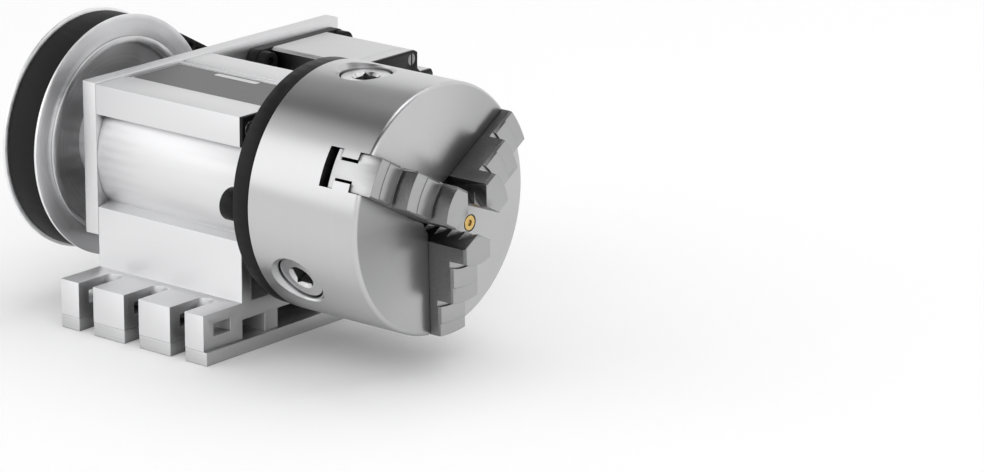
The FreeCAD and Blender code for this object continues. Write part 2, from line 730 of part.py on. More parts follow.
def motor_hole_places():
    """The motor's four mounting holes, in the frame of the spindle's plane."""
    axis = S["axis_height"]
    return [(motor_y + sy * motor_hole, axis + sz * motor_hole) for sy in (-1, 1) for sz in (-1, 1)]


def make_end_plate():
    """Plate behind the body that carries the motor beside it."""
    body = new_body("end_plate")
    sketch = new_sketch(body, "YZ_Plane", plate_rear)
    right = motor_y + motor_half + S["plate_past_motor"]
    draw_loop(sketch, rectangle(-S["plate_left"], plate_low, right, plate_top))
    draw_circle(sketch, motor_y, S["axis_height"], S["motor_pilot"] + 0.05)
    for u, v in motor_hole_places():
        draw_circle(sketch, u, v, S["mount_screw_radius"])
    pad(body, sketch, S["plate_thick"])
    pilot = new_sketch(body, "YZ_Plane", body_rear)
    draw_circle(pilot, 0, S["axis_height"], bore_radius - 0.05)
    pad(body, pilot, S["bearing_set_in"])
    gap = new_sketch(body, "YZ_Plane", plate_rear)
    draw_circle(gap, 0, S["axis_height"], S["plate_bore"])
    cut(body, gap, S["plate_thick"] + S["bearing_set_in"])
    holes(body, "YZ_Plane", plate_rear, S["plate_thick"], upper_ports(), S["port_radius"])
    holes(body, "YZ_Plane", plate_rear, S["plate_thick"], lower_ports(), S["low_port_radius"])
    sunk = S["port_head_height"] + S["port_head_sunk"]
    holes(body, "YZ_Plane", plate_rear, sunk, upper_ports(), S["port_head_radius"])
    holes(body, "YZ_Plane", plate_rear, sunk, lower_ports(), S["low_head_radius"])
    return body


def make_end_plate_screws():
    """Sunk cap screws through the end plate into the body's ports."""
    body = new_body("end_plate_screws")
    start = plate_rear + S["port_head_sunk"]
    high = S["port_head_height"]
    reach = S["plate_thick"] + 3 * high
    posts(body, "YZ_Plane", start, reach, upper_ports(), S["port_radius"])
    posts(body, "YZ_Plane", start, reach, lower_ports(), S["low_port_radius"])
    posts(body, "YZ_Plane", start, high, upper_ports(), S["port_head_radius"])
    posts(body, "YZ_Plane", start, high, lower_ports(), S["low_head_radius"])
    sketch = new_sketch(body, "YZ_Plane", start)
    for u, v in upper_ports():
        draw_loop(sketch, polygon(u, v, S["port_head_radius"] * 0.85, 6, 0))
    for u, v in lower_ports():
        draw_loop(sketch, polygon(u, v, S["low_head_radius"] * 0.85, 6, 0))
    cut(body, sketch, high * 0.6)
    return body


def make_bearing(label, x_low):
    """Outer ring with both seals, and inner ring."""
    x_high = x_low + S["bearing_width"]
    inner_radius = journal_radius + S["ring_thick"]
    race = bore_radius - S["ring_thick"]
    lip = inner_radius + S["seal_gap"]
    outer = on_spindle(f"{label}_outer")
    turned(outer, [
        (x_low, bore_radius), (x_low, lip), (x_low + S["seal_thick"], lip), (x_low + S["seal_thick"], race),
        (x_high - S["seal_thick"], race), (x_high - S["seal_thick"], lip), (x_high, lip), (x_high, bore_radius),
    ])
    inner = ring(f"{label}_inner", x_low, x_high, journal_radius, inner_radius)
    return [outer, inner]


def make_bearings():
    """Both bearings and the sleeves between them."""
    front_low = front_bearing_end - S["bearing_width"]
    rear_high = rear_bearing_end + S["bearing_width"]
    pieces = make_bearing("front_bearing", front_low) + make_bearing("rear_bearing", rear_bearing_end)
    pieces.append(ring("outer_sleeve", rear_high, front_low, bore_radius - S["outer_sleeve_thick"], bore_radius))
    pieces.append(ring("inner_sleeve", rear_high, front_low, journal_radius,
                       journal_radius + S["inner_sleeve_thick"]))
    return pieces


def make_spindle():
    """Hollow spindle with its front flange and nose."""
    body = on_spindle("spindle")
    bore = S["spindle_bore"] / 2
    turned(body, [
        (spindle_rear, bore), (spindle_rear, journal_radius), (front_bearing_end, journal_radius),
        (front_bearing_end, S["shoulder_radius"]), (flange_rear, S["shoulder_radius"]),
        (flange_rear, S["flange_radius"]), (adapter_rear, S["flange_radius"]),
        (adapter_rear, S["nose_radius"]), (adapter_rear + S["nose_length"], S["nose_radius"]),
        (adapter_rear + S["nose_length"], bore),
    ])
    drill = new_sketch(body, "YZ_Plane", flange_rear)
    draw_circle(drill, S["adapter_screw_radius"], 0, 2.5)
    first = cut(body, drill, S["flange_thick"])
    repeat_round(body, first, 4)
    return body


def make_chuck_adapter():
    """Black disc between the spindle flange and the chuck."""
    body = on_chuck("chuck_adapter")
    nose_end = adapter_rear + S["nose_length"]
    turned(body, [
        (adapter_rear, S["nose_radius"]), (adapter_rear, S["adapter_radius"]),
        (chuck_rear - S["seat_gap_width"], S["adapter_radius"]),
        (chuck_rear - S["seat_gap_width"], S["seat_gap_radius"]), (chuck_rear, S["seat_gap_radius"]),
        (chuck_rear, S["register_radius"]), (register_end, S["register_radius"]),
        (register_end, S["chuck_bore"]), (nose_end, S["chuck_bore"]), (nose_end, S["nose_radius"]),
    ])
    drill = new_sketch(body, "YZ_Plane", adapter_rear)
    draw_circle(drill, 0, -S["bolt_circle"], S["bolt_radius"])
    repeat_round(body, cut(body, drill, S["adapter_thick"]), CHUCK_STATIONS)
    return body


def make_adapter_screws():
    """Four screws from the adapter's front into the spindle flange."""
    body = on_spindle("adapter_screws")
    place = [(S["adapter_screw_radius"], 0)]
    posts(body, "YZ_Plane", flange_rear, register_end - flange_rear - 0.5, place, 2.5)
    posts(body, "YZ_Plane", register_end - 5.5, 5, place, 4.25)
    sketch = new_sketch(body, "YZ_Plane", register_end - 3)
    draw_loop(sketch, polygon(S["adapter_screw_radius"], 0, 4, 6, 0))
    cut(body, sketch, 3)
    repeat_round(body, None, 4, whole=True)
    return body


def drill_adapter_for_screws(adapter):
    """Holes and counterbores for the adapter screws, which stand square to the machine."""
    turn = -S["chuck_clock"]
    u = S["adapter_screw_radius"] * cosine(turn)
    v = S["adapter_screw_radius"] * sine(turn)
    through = new_sketch(adapter, "YZ_Plane", adapter_rear)
    draw_circle(through, u, v, 2.5)
    repeat_round(adapter, cut(adapter, through, S["adapter_thick"] + S["register_length"]), 4)
    sunk = new_sketch(adapter, "YZ_Plane", register_end - 5.5)
    draw_circle(sunk, u, v, 4.25)
    repeat_round(adapter, cut(adapter, sunk, 5.5), 4)


def make_chuck_bolts():
    """Three socket-headed bolts from behind the adapter into the chuck body."""
    body = on_chuck("chuck_bolts")
    place = [(0, -S["bolt_circle"])]
    head = adapter_rear - S["bolt_head_length"]
    posts(body, "YZ_Plane", head, S["bolt_head_length"], place, S["bolt_head_radius"])
    posts(body, "YZ_Plane", adapter_rear, S["adapter_thick"] + S["bolt_reach"], place, S["bolt_radius"])
    sketch = new_sketch(body, "YZ_Plane", head)
    draw_loop(sketch, polygon(0, -S["bolt_circle"], S["bolt_socket"], 6, S["bolt_socket_turn"]))
    cut(body, sketch, S["bolt_head_length"] / 2)
    repeat_round(body, None, CHUCK_STATIONS, whole=True)
    return body


def jaw_slot_outline():
    """Section of a jaw slot: head at the back, neck between the rails, full width at the face."""
    half = S["jaw_width"] / 2
    neck = S["slot_neck"] / 2
    floor = chuck_face - S["head_floor"]
    roof = chuck_face - S["head_roof"]
    rail = chuck_face - S["rail_front"]
    mouth = chuck_face + 1
    return [
        (floor, -half), (roof, -half), (roof, -neck), (rail, -neck), (rail, -half), (mouth, -half),
        (mouth, half), (rail, half), (rail, neck), (roof, neck), (roof, half), (floor, half),
    ]


def make_chuck_body():
    """Chuck body with its scroll space, jaw slots, pinion holes and bolt holes."""
    body = on_chuck("chuck_body")
    gap = S["seat_gap_width"]
    edge = S["chuck_edge"]
    turned(body, [
        (chuck_rear, S["register_radius"]), (chuck_rear, S["seat_gap_radius"]),
        (chuck_rear + gap, S["seat_gap_radius"]), (chuck_rear + gap, S["chuck_radius"]),
        (chuck_face - edge, S["chuck_radius"]), (chuck_face, S["chuck_radius"] - edge),
        (chuck_face, S["chuck_bore"]),
        (register_end + S["cover_thick"], S["chuck_bore"]), (register_end + S["cover_thick"], S["hub_radius"]),
        (cavity_floor, S["hub_radius"]), (cavity_floor, S["register_radius"]),
    ], {4: (chuck_face - edge, S["chuck_radius"] - edge, edge, -1)})
    slot = new_sketch(body, "XZ_Plane")
    draw_loop(slot, jaw_slot_outline())
    repeat_round(body, cut(body, slot, S["chuck_radius"] + 1), CHUCK_STATIONS)
    pinion_x = chuck_face - S["pinion_back"]
    shank = new_sketch(body, "XZ_Plane", -(S["chuck_radius"] + 1))
    draw_circle(shank, pinion_x, 0, S["pinion_radius"] + S["pinion_gap"])
    repeat_round(body, cut(body, shank, S["chuck_radius"] + 1 - S["hub_radius"] - 4), CHUCK_STATIONS)
    mouth = pinion_mouth_cut(body, pinion_x)
    repeat_round(body, mouth, CHUCK_STATIONS)
    bolts = new_sketch(body, "YZ_Plane", chuck_rear)
    draw_circle(bolts, 0, -S["bolt_circle"], S["bolt_radius"])
    repeat_round(body, cut(body, bolts, S["bolt_reach"]), CHUCK_STATIONS)
    pins = new_sketch(body, "YZ_Plane", chuck_rear)
    draw_circle(pins, -S["pin_circle"], 0, S["pin_radius"])
    repeat_round(body, cut(body, pins, pin_tip() - chuck_rear), CHUCK_STATIONS)
    oiler = new_sketch(body, "YZ_Plane", chuck_face - S["oiler_deep"])
    draw_circle(oiler, *oiler_place(), S["oiler_radius"])
    cut(body, oiler, S["oiler_deep"])
    ring_deep = S["oiler_ring_deep"]
    groove = S["oiler_radius"] + S["oiler_ring_wide"]
    holes(body, "YZ_Plane", chuck_face - ring_deep, ring_deep, [oiler_place()], groove)
    return body


def pinion_mouth_cut(body, pinion_x):
    """Conical countersink where a pinion meets the chuck's rim."""
    sketch = new_sketch(body, "XZ_Plane", -(S["chuck_radius"] + 0.2))
    draw_circle(sketch, pinion_x, 0, S["pinion_mouth"])
    feature = cut(body, sketch, S["pinion_sunk"] - 0.4)
    feature.TaperAngle = -35
    doc.recompute()
    return feature


def oiler_place():
    """Centre of the oiler on the chuck's face, between two jaws."""
    return S["oiler_circle"] * cosine(-60), S["oiler_circle"] * sine(-60)


def pin_tip():
    """Front end of the pins that hold the pinions."""
    return chuck_face - S["pinion_back"] - S["pinion_radius"] + S["pin_groove"] - 0.3


def make_pinion_pins():
    """Pins from the chuck's back into the groove of each pinion."""
    body = on_chuck("pinion_pins")
    posts(body, "YZ_Plane", chuck_rear + 0.5, pin_tip() - chuck_rear - 0.5, [(-S["pin_circle"], 0)],
          S["pin_radius"])
    repeat_round(body, None, CHUCK_STATIONS, whole=True)
    return body


def make_back_cover():
    """Ring that closes the scroll space behind."""
    body = on_chuck("chuck_back_cover")
    turned(body, rectangle(register_end, S["chuck_bore"], register_end + S["cover_thick"], S["register_radius"]))
    return body


def scroll_quarter(number, shift):
    """A quarter turn of the scroll's spiral as (centre, radius, start, end).

    The centres go round a square whose side is a quarter of the pitch, so each quarter turn is a plain
    arc that joins the next without a corner, and the radius falls by the pitch in each full turn.
    """
    side = S["scroll_pitch"] / 4
    across, up = [(-1, -1), (1, -1), (1, 1), (-1, 1)][number % 4]
    centre = (across * side / 2, up * side / 2)
    outmost = S["scroll_first"] + S["scroll_pitch"] * (SCROLL_TEETH - 0.5)
    radius = outmost - side * (number - 0.5) + shift
    start = quarter_turn(radius, size(0), (number - 1) % 4)
    end = quarter_turn(radius, size(0), number % 4)
    return (centre, radius, (centre[0] + start[0], centre[1] + start[1]),
            (centre[0] + end[0], centre[1] + end[1]))


def scroll_outline():
    """The scroll's thread: outer edge inwards, then the inner edge back."""
    half = S["scroll_land"] / 2
    corners = []
    arcs = {}
    for number in SCROLL_QUARTERS:
        centre, radius, start, end = scroll_quarter(number, half)
        arcs[len(corners)] = (*centre, radius, 1)
        corners.append(start)
    corners.append(end)
    for number in reversed(SCROLL_QUARTERS):
        centre, radius, start, end = scroll_quarter(number, -half)
        arcs[len(corners)] = (*centre, radius, -1)
        corners.append(end)
    corners.append(start)
    return corners, arcs


def gear_pitch_radius(reach):
    """Pitch radius of a pinion's bevel gear at a distance from the chuck's axis."""
    return reach * S["pinion_teeth"] / S["crown_teeth"]


def gear_half(reach, height):
    """Half thickness of a bevel tooth at a height over its pitch line, both taken at the gear's outer end."""
    at_pitch = math.pi * S["gear_outer"] / S["crown_teeth"] * S["gear_share"]
    return (at_pitch - height * S["gear_flank"]) * reach / S["gear_outer"]


def cone_cut(body, outline, reaches):
    """Cuts a tooth space that grows in proportion to its distance from the chuck's axis."""
    sketches = []
    for reach in reaches:
        sketch = new_sketch(body, "XZ_Plane", reach)
        draw_loop(sketch, outline(reach))
        sketches.append(sketch)
    before = body.Shape.Volume
    feature = body.newObject("PartDesign::SubtractiveLoft", f"{body.Name}_tooth_space")
    feature.Profile = sketches[0]
    feature.Sections = [sketches[1]]
    feature.Ruled = True
    doc.recompute()
    if before - body.Shape.Volume < 0.01:
        raise ValueError(f"{feature.Label} cuts nothing")
    return feature


def crown_space(reach):
    """Space between two bevel teeth on the scroll's back, at a distance from the axis."""
    scale = reach / S["gear_outer"]
    pitch_line = chuck_face - S["pinion_back"] + gear_pitch_radius(reach)
    corners = []
    for height, side in ((-S["gear_root"], -1), (-S["gear_root"], 1), (2 * S["gear_tip"], 1),
                         (2 * S["gear_tip"], -1)):
        half = math.pi * reach / S["crown_teeth"] - gear_half(reach, height)
        corners.append((pitch_line - height * scale, side * half))
    return corners


def pinion_space(reach):
    """Space between two teeth of a pinion, at a distance from the chuck's axis."""
    scale = reach / S["gear_outer"]
    step = size(360) / S["pinion_teeth"]
    corners = []
    for turn, side, heights in ((size(0), 1, (-S["gear_root"], 2.4 * S["gear_tip"])),
                                (step, -1, (2.4 * S["gear_tip"], -S["gear_root"]))):
        for height in heights:
            out = gear_pitch_radius(reach) + height * scale
            half = side * gear_half(reach, height)
            corners.append((chuck_face - S["pinion_back"] + out * cosine(turn) - half * sine(turn),
                            out * sine(turn) + half * cosine(turn)))
    return corners


def make_scroll():
    """Scroll disc with its sleeve on the chuck's hub, its spiral thread in front and bevel teeth behind."""
    body = on_chuck("scroll_plate")
    bore = S["hub_radius"] + S["scroll_gap"]
    rear = register_end + S["cover_thick"] + 0.1
    outer = S["register_radius"] - S["scroll_gap"]
    sleeve = bore + S["scroll_sleeve"]
    inner = S["gear_inner"] - 1
    crest = [chuck_face - S["pinion_back"] + gear_pitch_radius(reach) - S["gear_tip"] * reach / S["gear_outer"]
             for reach in (inner, outer)]
    turned(body, [(rear, bore), (rear, sleeve), (crest[0], sleeve), (crest[0], inner), (crest[1], outer),
                  (scroll_front, outer), (scroll_front, bore)])
    space = cone_cut(body, crown_space, (inner - 1, outer + 1))
    repeat_round(body, space, int(S["crown_teeth"].value))
    thread = new_sketch(body, "YZ_Plane", scroll_front)
    draw_loop(thread, *scroll_outline())
    pad(body, thread, cavity_floor - S["scroll_thread_gap"] - scroll_front)
    return body


def jaw_profile():
    """Side view of a jaw as (x, radius): foot, two steps with relief grooves, gripping height."""
    inner = S["jaw_apex"] / 2
    corners = [(jaw_rear, inner), (jaw_high, inner), (jaw_high, S["riser_inner"])]
    for level, riser, split, end in (
            (jaw_high - S["tread_rise"], S["riser_inner"], S["middle_split"], S["riser_outer"]),
            (jaw_high - 2 * S["tread_rise"], S["riser_outer"], S["outer_split"], S["jaw_outer"])):
        relief = riser + S["relief_width"]
        corners += [
            (level - S["relief_deep"], riser), (level - S["relief_deep"], relief), (level, relief),
            (level, split), (level - S["tread_drop"], split), (level - S["tread_drop"], end),
        ]
    return corners + [(jaw_rear, S["jaw_outer"])]


def cut_jaw_chamfers(body, half, shoulder):
    """Chamfers along both sides of the three treads."""
    wide = S["jaw_chamfer"]
    for level, start in ((jaw_high, shoulder), (jaw_high - S["tread_rise"], S["riser_inner"]),
                         (jaw_high - 2 * S["tread_rise"], S["riser_outer"])):
        sketch = new_sketch(body, "XZ_Plane", start)
        for side in (-1, 1):
            draw_loop(sketch, [(level - wide, side * half), (level, side * (half - wide)), (level, side * half)])
        cut(body, sketch, S["jaw_outer"])


def cut_grip_teeth(body):
    """Saw teeth across a jaw's gripping edge, with their steep sides to the front."""
    apex = S["jaw_apex"]
    corners = [(jaw_high, apex)]
    for tooth in range(1, GRIP_TEETH + 1):
        x = jaw_high - tooth * S["grip_pitch"]
        corners += [(x, apex + S["grip_deep"]), (x, apex)]
    corners[-1] = (x, apex / 2)
    corners.append((jaw_high, apex / 2))
    sketch = new_sketch(body, "XY_Plane")
    draw_loop(sketch, corners)
    cut(body, sketch, S["jaw_width"], symmetric=True)


def add_scroll_teeth(body, number):
    """Curved teeth on a jaw's foot that run in the scroll's groove."""
    half = S["scroll_tooth_half"]
    rounding = S["scroll_tooth_round"]
    tilt = -S["scroll_pitch"] / (2 * math.pi)
    first = S["scroll_first"] - S["scroll_pitch"] * number / CHUCK_STATIONS
    tip = scroll_front + S["scroll_tooth_gap"]
    sketch = new_sketch(body, "YZ_Plane", tip)
    for tooth in range(SCROLL_TEETH):
        middle = first + tooth * S["scroll_pitch"]
        inner = middle - S["scroll_tooth"] / 2 - leg(rounding, tilt)
        outer = middle + S["scroll_tooth"] / 2 - leg(rounding, tilt)
        low = leg(rounding, half + tilt)
        high = leg(rounding, half - tilt)
        corners = [(inner + low, -half), (outer + low, -half), (outer + high, half), (inner + high, half)]
        draw_loop(sketch, corners, {1: (outer, tilt, rounding, 1), 3: (inner, tilt, rounding, -1)})
    pad(body, sketch, jaw_rear - tip)


def make_jaw(number):
    """A hardened jaw: turned steps, flat sides, wedge tip and guide grooves."""
    body = on_chuck(f"jaw_{number + 1}", JAW_STEP * number)
    profile = new_sketch(body, "XY_Plane")
    draw_loop(profile, jaw_profile())
    revolve(body, profile, angle=180, symmetric=True)
    half = S["jaw_width"] / 2 - S["jaw_gap"]
    far = S["jaw_outer"] + 1
    shoulder = S["jaw_apex"] + half / math.tan(math.radians(60))
    trim = new_sketch(body, "YZ_Plane", 0)
    draw_loop(trim, rectangle(-far, -far, far + 1, far))
    draw_loop(trim, [(S["jaw_apex"], 0), (shoulder, -half), (far, -half), (far, half), (shoulder, half)])
    cut(body, trim, jaw_high + S["tread_rise"])
    cut_jaw_chamfers(body, half, shoulder)
    cut_grip_teeth(body)
    waist = new_sketch(body, "XZ_Plane", 0)
    roof = chuck_face - S["head_roof"] - S["jaw_gap"]
    rail = chuck_face - S["rail_front"] + S["jaw_gap"]
    for side in (-1, 1):
        draw_loop(waist, rectangle(roof, side * S["jaw_waist"] / 2, rail, side * (half + 1)))
    cut(body, waist, far)
    add_scroll_teeth(body, number)
    return body


def turned_on_pinion(body, corners):
    """A round piece on a pinion's axis, from (distance from that axis, distance from the chuck's axis)."""
    pinion_x = chuck_face - S["pinion_back"]
    sketch = new_sketch(body, "XY_Plane")
    draw_loop(sketch, [(pinion_x + out, reach) for out, reach in corners])
    axis = sketch.addGeometry(Part.LineSegment(FreeCAD.Vector(pinion_x.value, 0, 0),
                                               FreeCAD.Vector(pinion_x.value, S["chuck_radius"].value, 0)), True)
    sketch.addConstraint(Sketcher.Constraint("PointOnObject", axis, 1, -1))
    sketch.addConstraint(Sketcher.Constraint("Vertical", axis))
    tie(sketch, "DistanceX", -1, 1, axis, 1, pinion_x)
    revolve(body, sketch, axis="Axis0")
    return sketch


def make_pinion(number):
    """A key pinion: grooved shank with its square socket, and the bevel gear on its inner end."""
    angle = JAW_STEP * number - JAW_STEP / 2
    shank = on_chuck(f"pinion_{number + 1}", angle)
    end = S["chuck_radius"] - S["pinion_sunk"]
    radius = S["pinion_radius"]
    chamfer = S["pinion_chamfer"]
    groove_in = S["pin_circle"] - S["pin_radius"] - 0.2
    groove_out = S["pin_circle"] + S["pin_radius"] + 0.2
    groove = radius - S["pin_groove"]
    shank_in = S["register_radius"] + 0.2
    mouth = S["socket_mouth"]
    turned_on_pinion(shank, [
        (0, shank_in), (radius, shank_in), (radius, groove_in), (groove, groove_in), (groove, groove_out),
        (radius, groove_out), (radius, end - chamfer), (radius - chamfer, end), (mouth, end),
        (mouth - 1.2, end - 1.2), (0, end - 1.2),
    ])
    socket = new_sketch(shank, "XZ_Plane", end - S["socket_deep"])
    pinion_x = chuck_face - S["pinion_back"]
    half = S["socket_width"] / 2
    draw_loop(socket, rectangle(pinion_x - half, -half, pinion_x + half, half))
    cut(shank, socket, S["socket_deep"])

    gear = on_chuck(f"pinion_gear_{number + 1}", angle)
    tips = [gear_pitch_radius(reach) + S["gear_tip"] * reach / S["gear_outer"]
            for reach in (S["gear_inner"], S["gear_outer"])]
    sketch = turned_on_pinion(gear, [
        (0, S["gear_inner"]), (tips[0], S["gear_inner"]), (tips[1], S["gear_outer"]), (tips[1], shank_in),
        (0, shank_in),
    ])
    space = cone_cut(gear, pinion_space, (S["gear_inner"] - 1, shank_in + 1))
    repeat_round(gear, space, int(S["pinion_teeth"].value), axis=(sketch, ["Axis0"]))
    return [shank, gear]


def make_oiler():
    """Brass ball oiler in the chuck's face."""
    body = on_chuck("oiler")
    posts(body, "YZ_Plane", chuck_face - S["oiler_deep"], S["oiler_deep"], [oiler_place()], S["oiler_radius"])
    holes(body, "YZ_Plane", chuck_face - 0.8, 0.8, [oiler_place()], S["oiler_radius"] / 2.5)
    return body


def cut_teeth(body, tip_radius, count, x_low, width):
    """Straight-sided tooth spaces round a pulley."""
    floor = tip_radius - S["tooth_deep"]
    wide = S["belt_pitch"] * 0.31
    narrow = wide * 0.72
    sketch = new_sketch(body, "YZ_Plane", x_low)
    draw_loop(sketch, [(floor, -narrow), (tip_radius + 0.4, -wide), (tip_radius + 0.4, wide), (floor, narrow)])
    repeat_round(body, cut(body, sketch, width), int(count.value))


def make_drive_pulley():
    """Spindle pulley: toothed rim, web and hub."""
    body = on_spindle("drive_pulley")
    tip = large_pitch_radius - S["tip_drop"]
    web_front = rim_front - S["web_set_in"]
    web_rear = web_front - S["pulley_web"]
    bead_front = pulley_front + S["rim_bead"]
    bead_rear = pulley_rear - S["rim_bead"]
    turned(body, [
        (hub_rear, journal_radius), (hub_rear, S["hub_outer"]), (web_rear, S["hub_outer"]),
        (web_rear, S["rim_inner"]), (bead_rear, S["rim_inner"]), (bead_rear, S["rim_seat"]),
        (rim_rear, S["rim_seat"]), (rim_rear, tip), (rim_front, tip), (rim_front, S["rim_seat"]),
        (bead_front, S["rim_seat"]), (bead_front, S["rim_inner"]), (web_front, S["rim_inner"]),
        (web_front, S["hub_outer"]), (hub_front, S["hub_outer"]), (hub_front, journal_radius),
    ])
    cut_teeth(body, tip, S["large_teeth"], rim_rear, S["rim_width"])
    return body


def make_pulley_flange(label, seat, side):
    """Sheet flange with a rim that leans away from the belt."""
    body = on_spindle(label)
    thick = side * S["pulley_flange_thick"]
    flare = side * S["pulley_flange_flare"]
    bend = large_pitch_radius
    turned(body, [
        (seat, S["rim_seat"]), (seat, bend), (seat + flare, S["pulley_flange_radius"]),
        (seat + flare + thick, S["pulley_flange_radius"]), (seat + thick, bend), (seat + thick, S["rim_seat"]),
    ])
    return body


def make_drive_belt():
    """The toothed belt's band, round both pulleys."""
    body = new_body("drive_belt")
    width = S["belt_width"]
    low = (rim_front + rim_rear) / 2 - width / 2
    sketch = new_sketch(body, "YZ_Plane", low)
    for rise in (S["back_rise"], -S["tip_drop"] + S["belt_clearance"]):
        large = large_pitch_radius + rise
        small = small_pitch_radius + rise
        cos_a = (large_pitch_radius - small_pitch_radius) / motor_y
        sin_a = root(1 - cos_a * cos_a)
        axis = S["axis_height"]
        corners = [
            (large * cos_a, axis + large * sin_a), (large * cos_a, axis - large * sin_a),
            (motor_y + small * cos_a, axis - small * sin_a), (motor_y + small * cos_a, axis + small * sin_a),
        ]
        draw_loop(sketch, corners, {0: (0, axis, large, 1), 2: (motor_y, axis, small, 1)})
    pad(body, sketch, width)
    return body


def notched_outline():
    """Motor section in its own frame: a square with its four corners cut away."""
    half = motor_half
    arm = half - S["arm_inset"]
    notch = half - S["notch_deep"]
    wide = notch - S["notch_round"]
    quarter = [(half, arm), (half - 1, wide), (notch, wide), (wide, notch), (wide, half - 1), (arm, half)]
    corners = []
    for turn in range(4):
        for u, v in quarter:
            corners.append(quarter_turn(u, v, turn))
    return corners


def quarter_turn(u, v, times):
    """A point turned by quarter turns."""
    for _ in range(times):
        u, v = -v, u
    return u, v


def make_motor():
    """Stepping motor: flange, laminated stack, rear bell and black rear cap."""
    half = motor_half
    front = body_rear + S["motor_flange_thick"]
    round_off = S["motor_flange_round"]
    flange = on_motor("motor_flange")
    sketch = new_sketch(flange, "YZ_Plane", body_rear)
    corners = []
    arcs = {}
    for turn in range(4):
        arcs[2 * turn] = (*quarter_turn(half - round_off, half - round_off, turn), round_off, 1)
        corners.append(quarter_turn(half, half - round_off, turn))
        corners.append(quarter_turn(half - round_off, half, turn))
    draw_loop(sketch, corners, arcs)
    places = [(sy * motor_hole, sz * motor_hole) for sy in (-1, 1) for sz in (-1, 1)]
    for u, v in places:
        draw_circle(sketch, u, v, S["motor_hole_radius"])
    pad(flange, sketch, S["motor_flange_thick"])
    pilot = new_sketch(flange, "YZ_Plane", body_rear - S["motor_pilot_length"])
    draw_circle(pilot, 0, 0, S["motor_pilot"])
    pad(flange, pilot, S["motor_pilot_length"])
    bore = new_sketch(flange, "YZ_Plane", body_rear - S["motor_pilot_length"])
    draw_circle(bore, 0, 0, S["motor_shaft_radius"] + 0.3)
    cut(flange, bore, S["motor_pilot_length"] + S["motor_flange_thick"])

    stack = on_motor("motor_stack")
    sketch = new_sketch(stack, "YZ_Plane", front)
    draw_loop(sketch, notched_outline())
    draw_circle(sketch, 0, 0, S["rotor_radius"] + S["rotor_gap"])
    pad(stack, sketch, S["stack_length"])

    bell = on_motor("motor_end_bell")
    sketch = new_sketch(bell, "YZ_Plane", front + S["stack_length"])
    draw_loop(sketch, notched_outline())
    pad(bell, sketch, S["bell_length"])

    cap = on_motor("motor_rear_cap")
    sketch = new_sketch(cap, "YZ_Plane", front + S["stack_length"] + S["bell_length"])
    draw_loop(sketch, notched_outline())
    for u, v in tie_screw_places():
        draw_circle(sketch, u, v, S["tie_screw_radius"] + 1)
    pad(cap, sketch, S["cap_thick"])

    ties = on_motor("motor_tie_screws")
    bell_rear = front + S["stack_length"] + S["bell_length"]
    posts(ties, "YZ_Plane", bell_rear, S["cap_thick"] - 0.4, tie_screw_places(), S["tie_screw_radius"] + 1)
    slot = new_sketch(ties, "YZ_Plane", bell_rear + 0.2)
    for u, v in tie_screw_places():
        draw_loop(slot, rectangle(u - 0.4, v - 4, u + 0.4, v + 4))
    cut(ties, slot, S["cap_thick"])

    mounts = on_motor("motor_mount_screws")
    posts(mounts, "YZ_Plane", body_rear - S["plate_thick"], S["plate_thick"] + S["motor_flange_thick"], places,
          S["mount_screw_radius"])
    posts(mounts, "YZ_Plane", front, S["mount_head_length"], places, S["mount_head_radius"])
    sketch = new_sketch(mounts, "YZ_Plane", front + S["mount_head_length"] / 2)
    for u, v in places:
        draw_loop(sketch, polygon(u, v, 4, 6, 0))
    cut(mounts, sketch, S["mount_head_length"])
    return [flange, stack, bell, cap, ties, mounts]


def tie_screw_places():
    """Heads of the screws that clamp the motor together."""
    side = motor_half - S["arm_inset"] - S["tie_screw_side"]
    high = motor_half - S["tie_screw_inset"]
    return [quarter_turn(side, high, turn) for turn in range(4)]


def make_motor_shaft():
    """Motor shaft, and the rotor on it inside the stack."""
    body = on_motor("motor_shaft")
    rear = rim_rear + S["motor_shaft_end"]
    front = body_rear + S["motor_flange_thick"] + S["stack_length"]
    radius = S["motor_shaft_radius"]
    turned(body, [
        (rear, 0), (rear, radius - 0.5), (rear + 0.5, radius), (front, radius), (front, 0),
    ])
    start = front - S["stack_length"] + S["rotor_end_gap"]
    core = ring("motor_rotor_core", start, front - S["rotor_end_gap"], radius, S["rotor_radius"], make=on_motor)
    return [body, core]


def make_motor_pulley():
    """Small toothed pulley with flanges and a hub for its set screws."""
    body = on_motor("motor_pulley")
    tip = small_pitch_radius - S["tip_drop"]
    outer = S["small_flange_radius"]
    thick = S["pulley_flange_thick"]
    hub_end = rim_front + thick + S["small_hub_length"]
    bore = S["motor_shaft_radius"]
    turned(body, [(rim_rear, bore), (rim_rear, tip), (rim_front, tip), (rim_front, bore)])
    cut_teeth(body, tip, S["small_teeth"], rim_rear, S["rim_width"])
    for low, high, radius in ((rim_rear - thick, rim_rear, outer), (rim_front, rim_front + thick, outer),
                              (rim_front + thick, hub_end, S["small_hub_radius"])):
        sketch = new_sketch(body, "YZ_Plane", low)
        draw_circle(sketch, 0, 0, radius)
        draw_circle(sketch, 0, 0, bore)
        pad(body, sketch, high - low)
    screw_x = hub_end - S["small_hub_length"] / 2
    hole = new_sketch(body, "XY_Plane", bore - 0.5)
    draw_circle(hole, screw_x, 0, S["set_screw_radius"])
    cut(body, hole, S["small_hub_radius"])

    screw = on_motor("pulley_set_screw")
    posts(screw, "XY_Plane", bore, S["small_hub_radius"] - bore - 0.3, [(screw_x, 0)], S["set_screw_radius"])
    sketch = new_sketch(screw, "XY_Plane", S["small_hub_radius"] - 2)
    draw_loop(sketch, polygon(screw_x, 0, 2, 6, 0))
    cut(screw, sketch, 2)
    return [body, screw]


